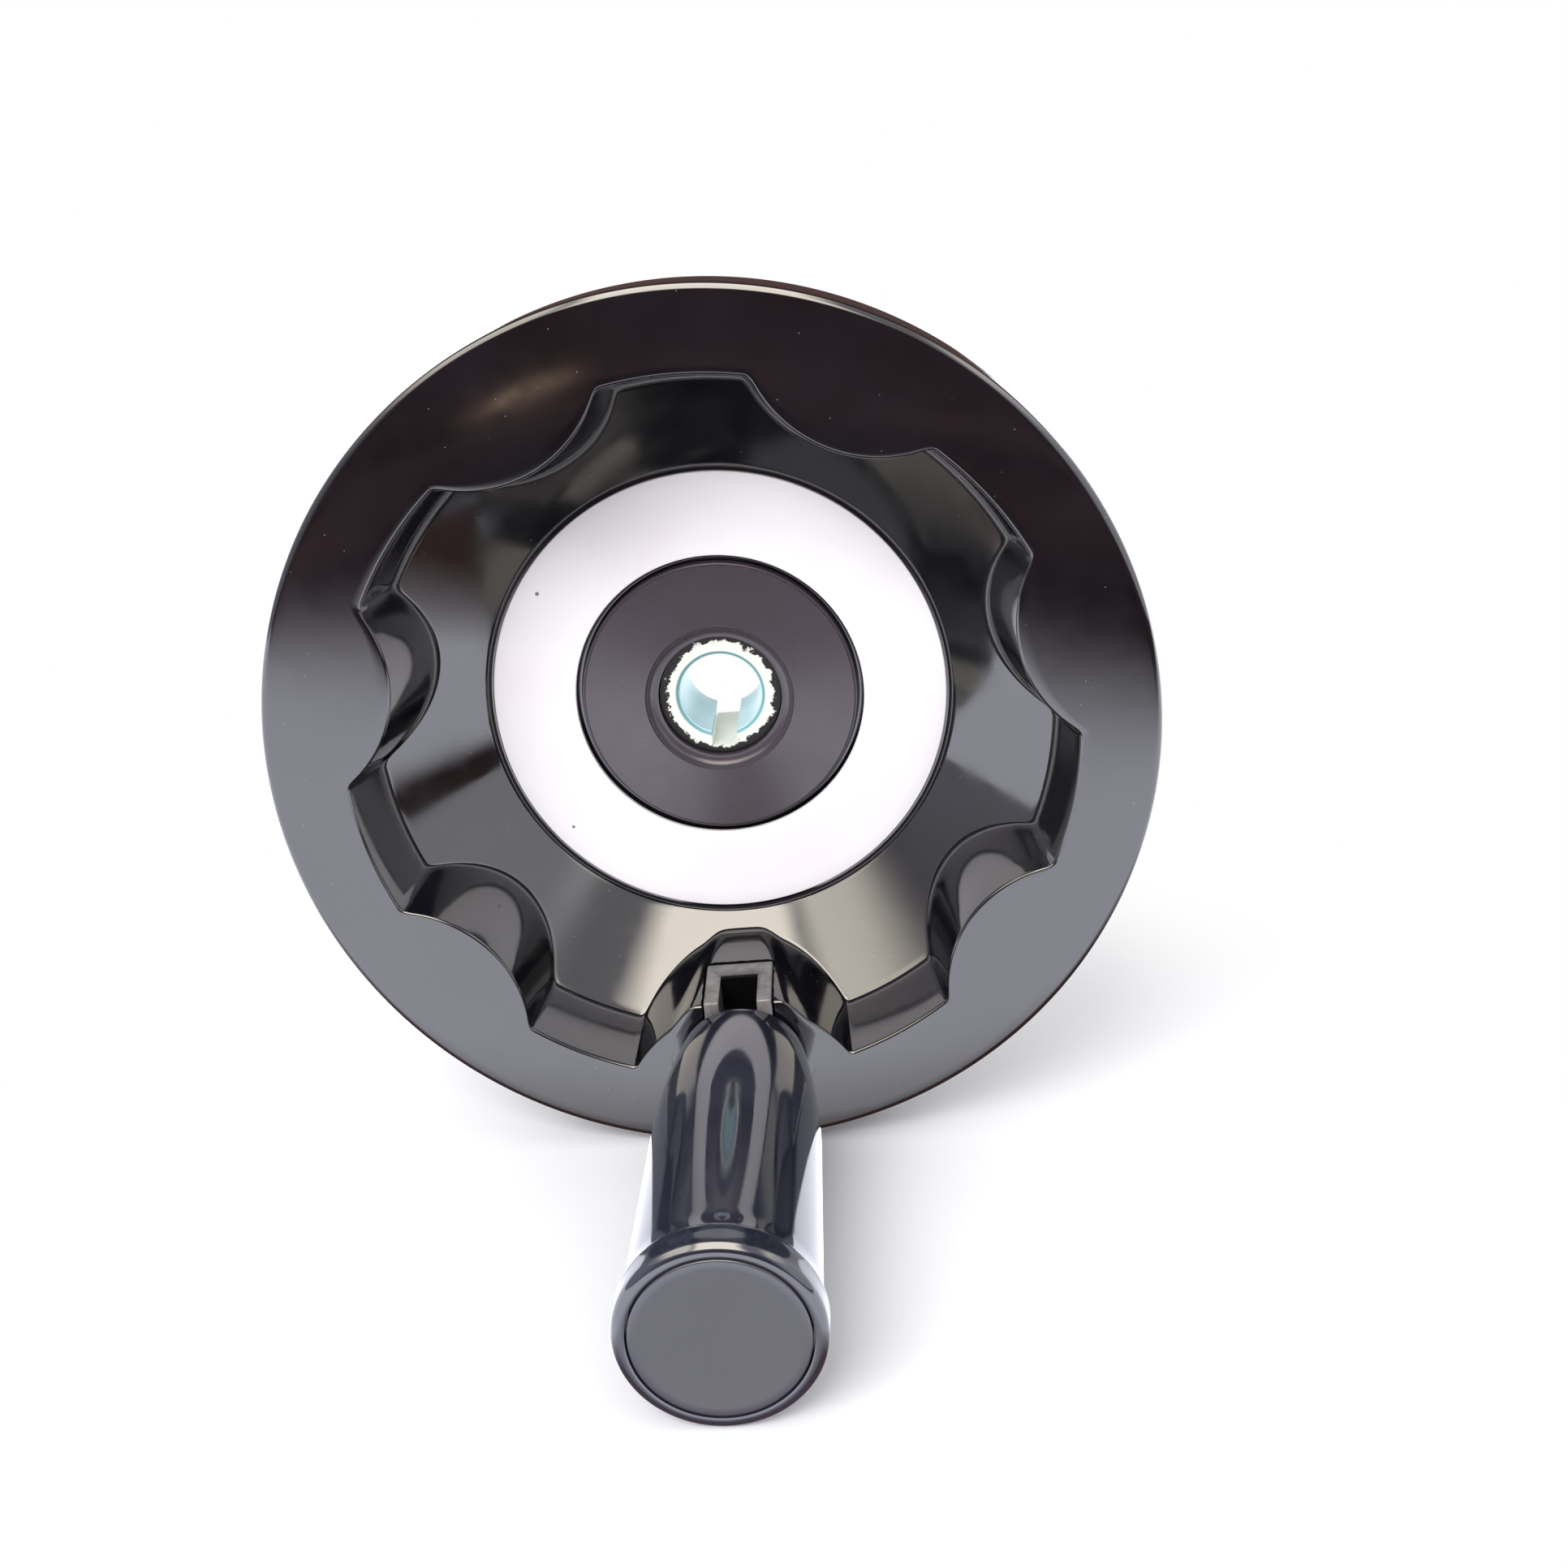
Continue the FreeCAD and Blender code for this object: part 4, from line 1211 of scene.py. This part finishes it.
    def hang_softbox(self) -> None:
        """Hangs the one soft lamp, in front and above. Glossy surfaces don't show it."""
        deselect_all()
        turn = (Vector(self.lamp_aim) - Vector(self.lamp_place)).to_track_quat("-Z", "Y").to_euler()
        bpy.ops.object.light_add(type="AREA", location=self.lamp_place, rotation=turn)
        lamp = bpy.context.object
        lamp.name = "front_softbox"
        lamp.data.shape = "RECTANGLE"
        lamp.data.size, lamp.data.size_y = self.lamp_size
        lamp.data.energy = self.lamp_watts
        lamp.visible_glossy = False

    def light_world(self) -> None:
        """Makes the surroundings: plain white, but to glossy surfaces a room with a bright ceiling panel in front."""
        world = bpy.data.worlds.new("pale_room")
        bpy.context.scene.world = world
        world.use_nodes = True
        tree = world.node_tree
        tree.nodes.clear()
        out = add_node(tree, "ShaderNodeOutputWorld")
        path = add_node(tree, "ShaderNodeLightPath")
        place = add_node(tree, "ShaderNodeTexCoord")
        parts = add_node(tree, "ShaderNodeSeparateXYZ", links={0: place.outputs["Generated"]})
        high = self.blend(tree, parts.outputs["Z"], self.panel_height)
        behind = self.blend(tree, parts.outputs["Y"], self.panel_back, "LINEAR")
        panel = add_node(tree, "ShaderNodeMath", {"operation": "MULTIPLY"}, {0: high.outputs[0], 1: behind.outputs[0]})
        across = self.blend(tree, parts.outputs["X"], (-1.0, 1.0), "LINEAR")
        ceiling = add_node(tree, "ShaderNodeValToRGB", {"stops": CEILING}, {0: across.outputs[0]})
        walls = add_node(tree, "ShaderNodeValToRGB", {"stops": WALLS}, {0: across.outputs[0]})
        room = add_node(tree, "ShaderNodeMix", {"data_type": "RGBA"},
                        {0: panel.outputs[0], 6: walls.outputs["Color"], 7: ceiling.outputs["Color"]})
        lift = add_node(tree, "ShaderNodeMath",
                        {"operation": "MULTIPLY_ADD", 1: self.panel_level, 2: self.wall_level}, {0: panel.outputs[0]})
        level = add_node(tree, "ShaderNodeMath", {"operation": "MULTIPLY_ADD", 2: 1.0},
                         {0: lift.outputs[0], 1: path.outputs["Is Glossy Ray"]})
        open_sight = add_node(tree, "ShaderNodeMath", {"operation": "SUBTRACT", 0: 1.0},
                              {1: path.outputs["Is Glossy Ray"]})
        seen = add_node(tree, "ShaderNodeMix", {"data_type": "RGBA", 7: linear("ffffff")},
                        {0: open_sight.outputs[0], 6: room.outputs[2]})
        sky = add_node(tree, "ShaderNodeBackground", links={"Color": seen.outputs[2], "Strength": level.outputs[0]})
        tree.links.new(sky.outputs[0], out.inputs["Surface"])

    def build(self) -> None:
        """Sets up the whole studio."""
        self.place_camera()
        self.lay_floor()
        self.light_world()
        self.hang_softbox()
        bpy.context.scene.view_settings.view_transform = "Standard"


def main() -> None:
    """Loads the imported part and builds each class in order."""
    logging.basicConfig(level=logging.INFO, format="%(name)s %(message)s")
    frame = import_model()
    Studio().build()
    Wheel().build(MouldedPhenolic(faced_radius_mm=26.7).build())
    hub = Hub()
    hub.build_ring(SatinAluminium().build())
    hub.build_bush(MouldedInBush().build())
    Fork().build(WornZinc().build())
    grip = Grip()
    grip.build_grip(MouldedPhenolic(name="blue_black_phenolic", deep="1c1f2b", lifted="282b38").build())
    grip.build_cap(CapPlastic().build())
    steel = TurnedSteel().build()
    spring_steel = TurnedSteel(name="drawn_spring_steel", base="8a8b90", dark="6c6d72", mark_mm=0.1).build()
    for node in ("hinge_pin", "spindle", "spindle_washer", "spindle_nut", "bearing_sleeve"):
        dress(frame["nodes"][node], steel)
    for node in ("return_spring", "sleeve_clip"):
        dress(frame["nodes"][node], spring_steel)


if __name__ == "__main__":
    main()
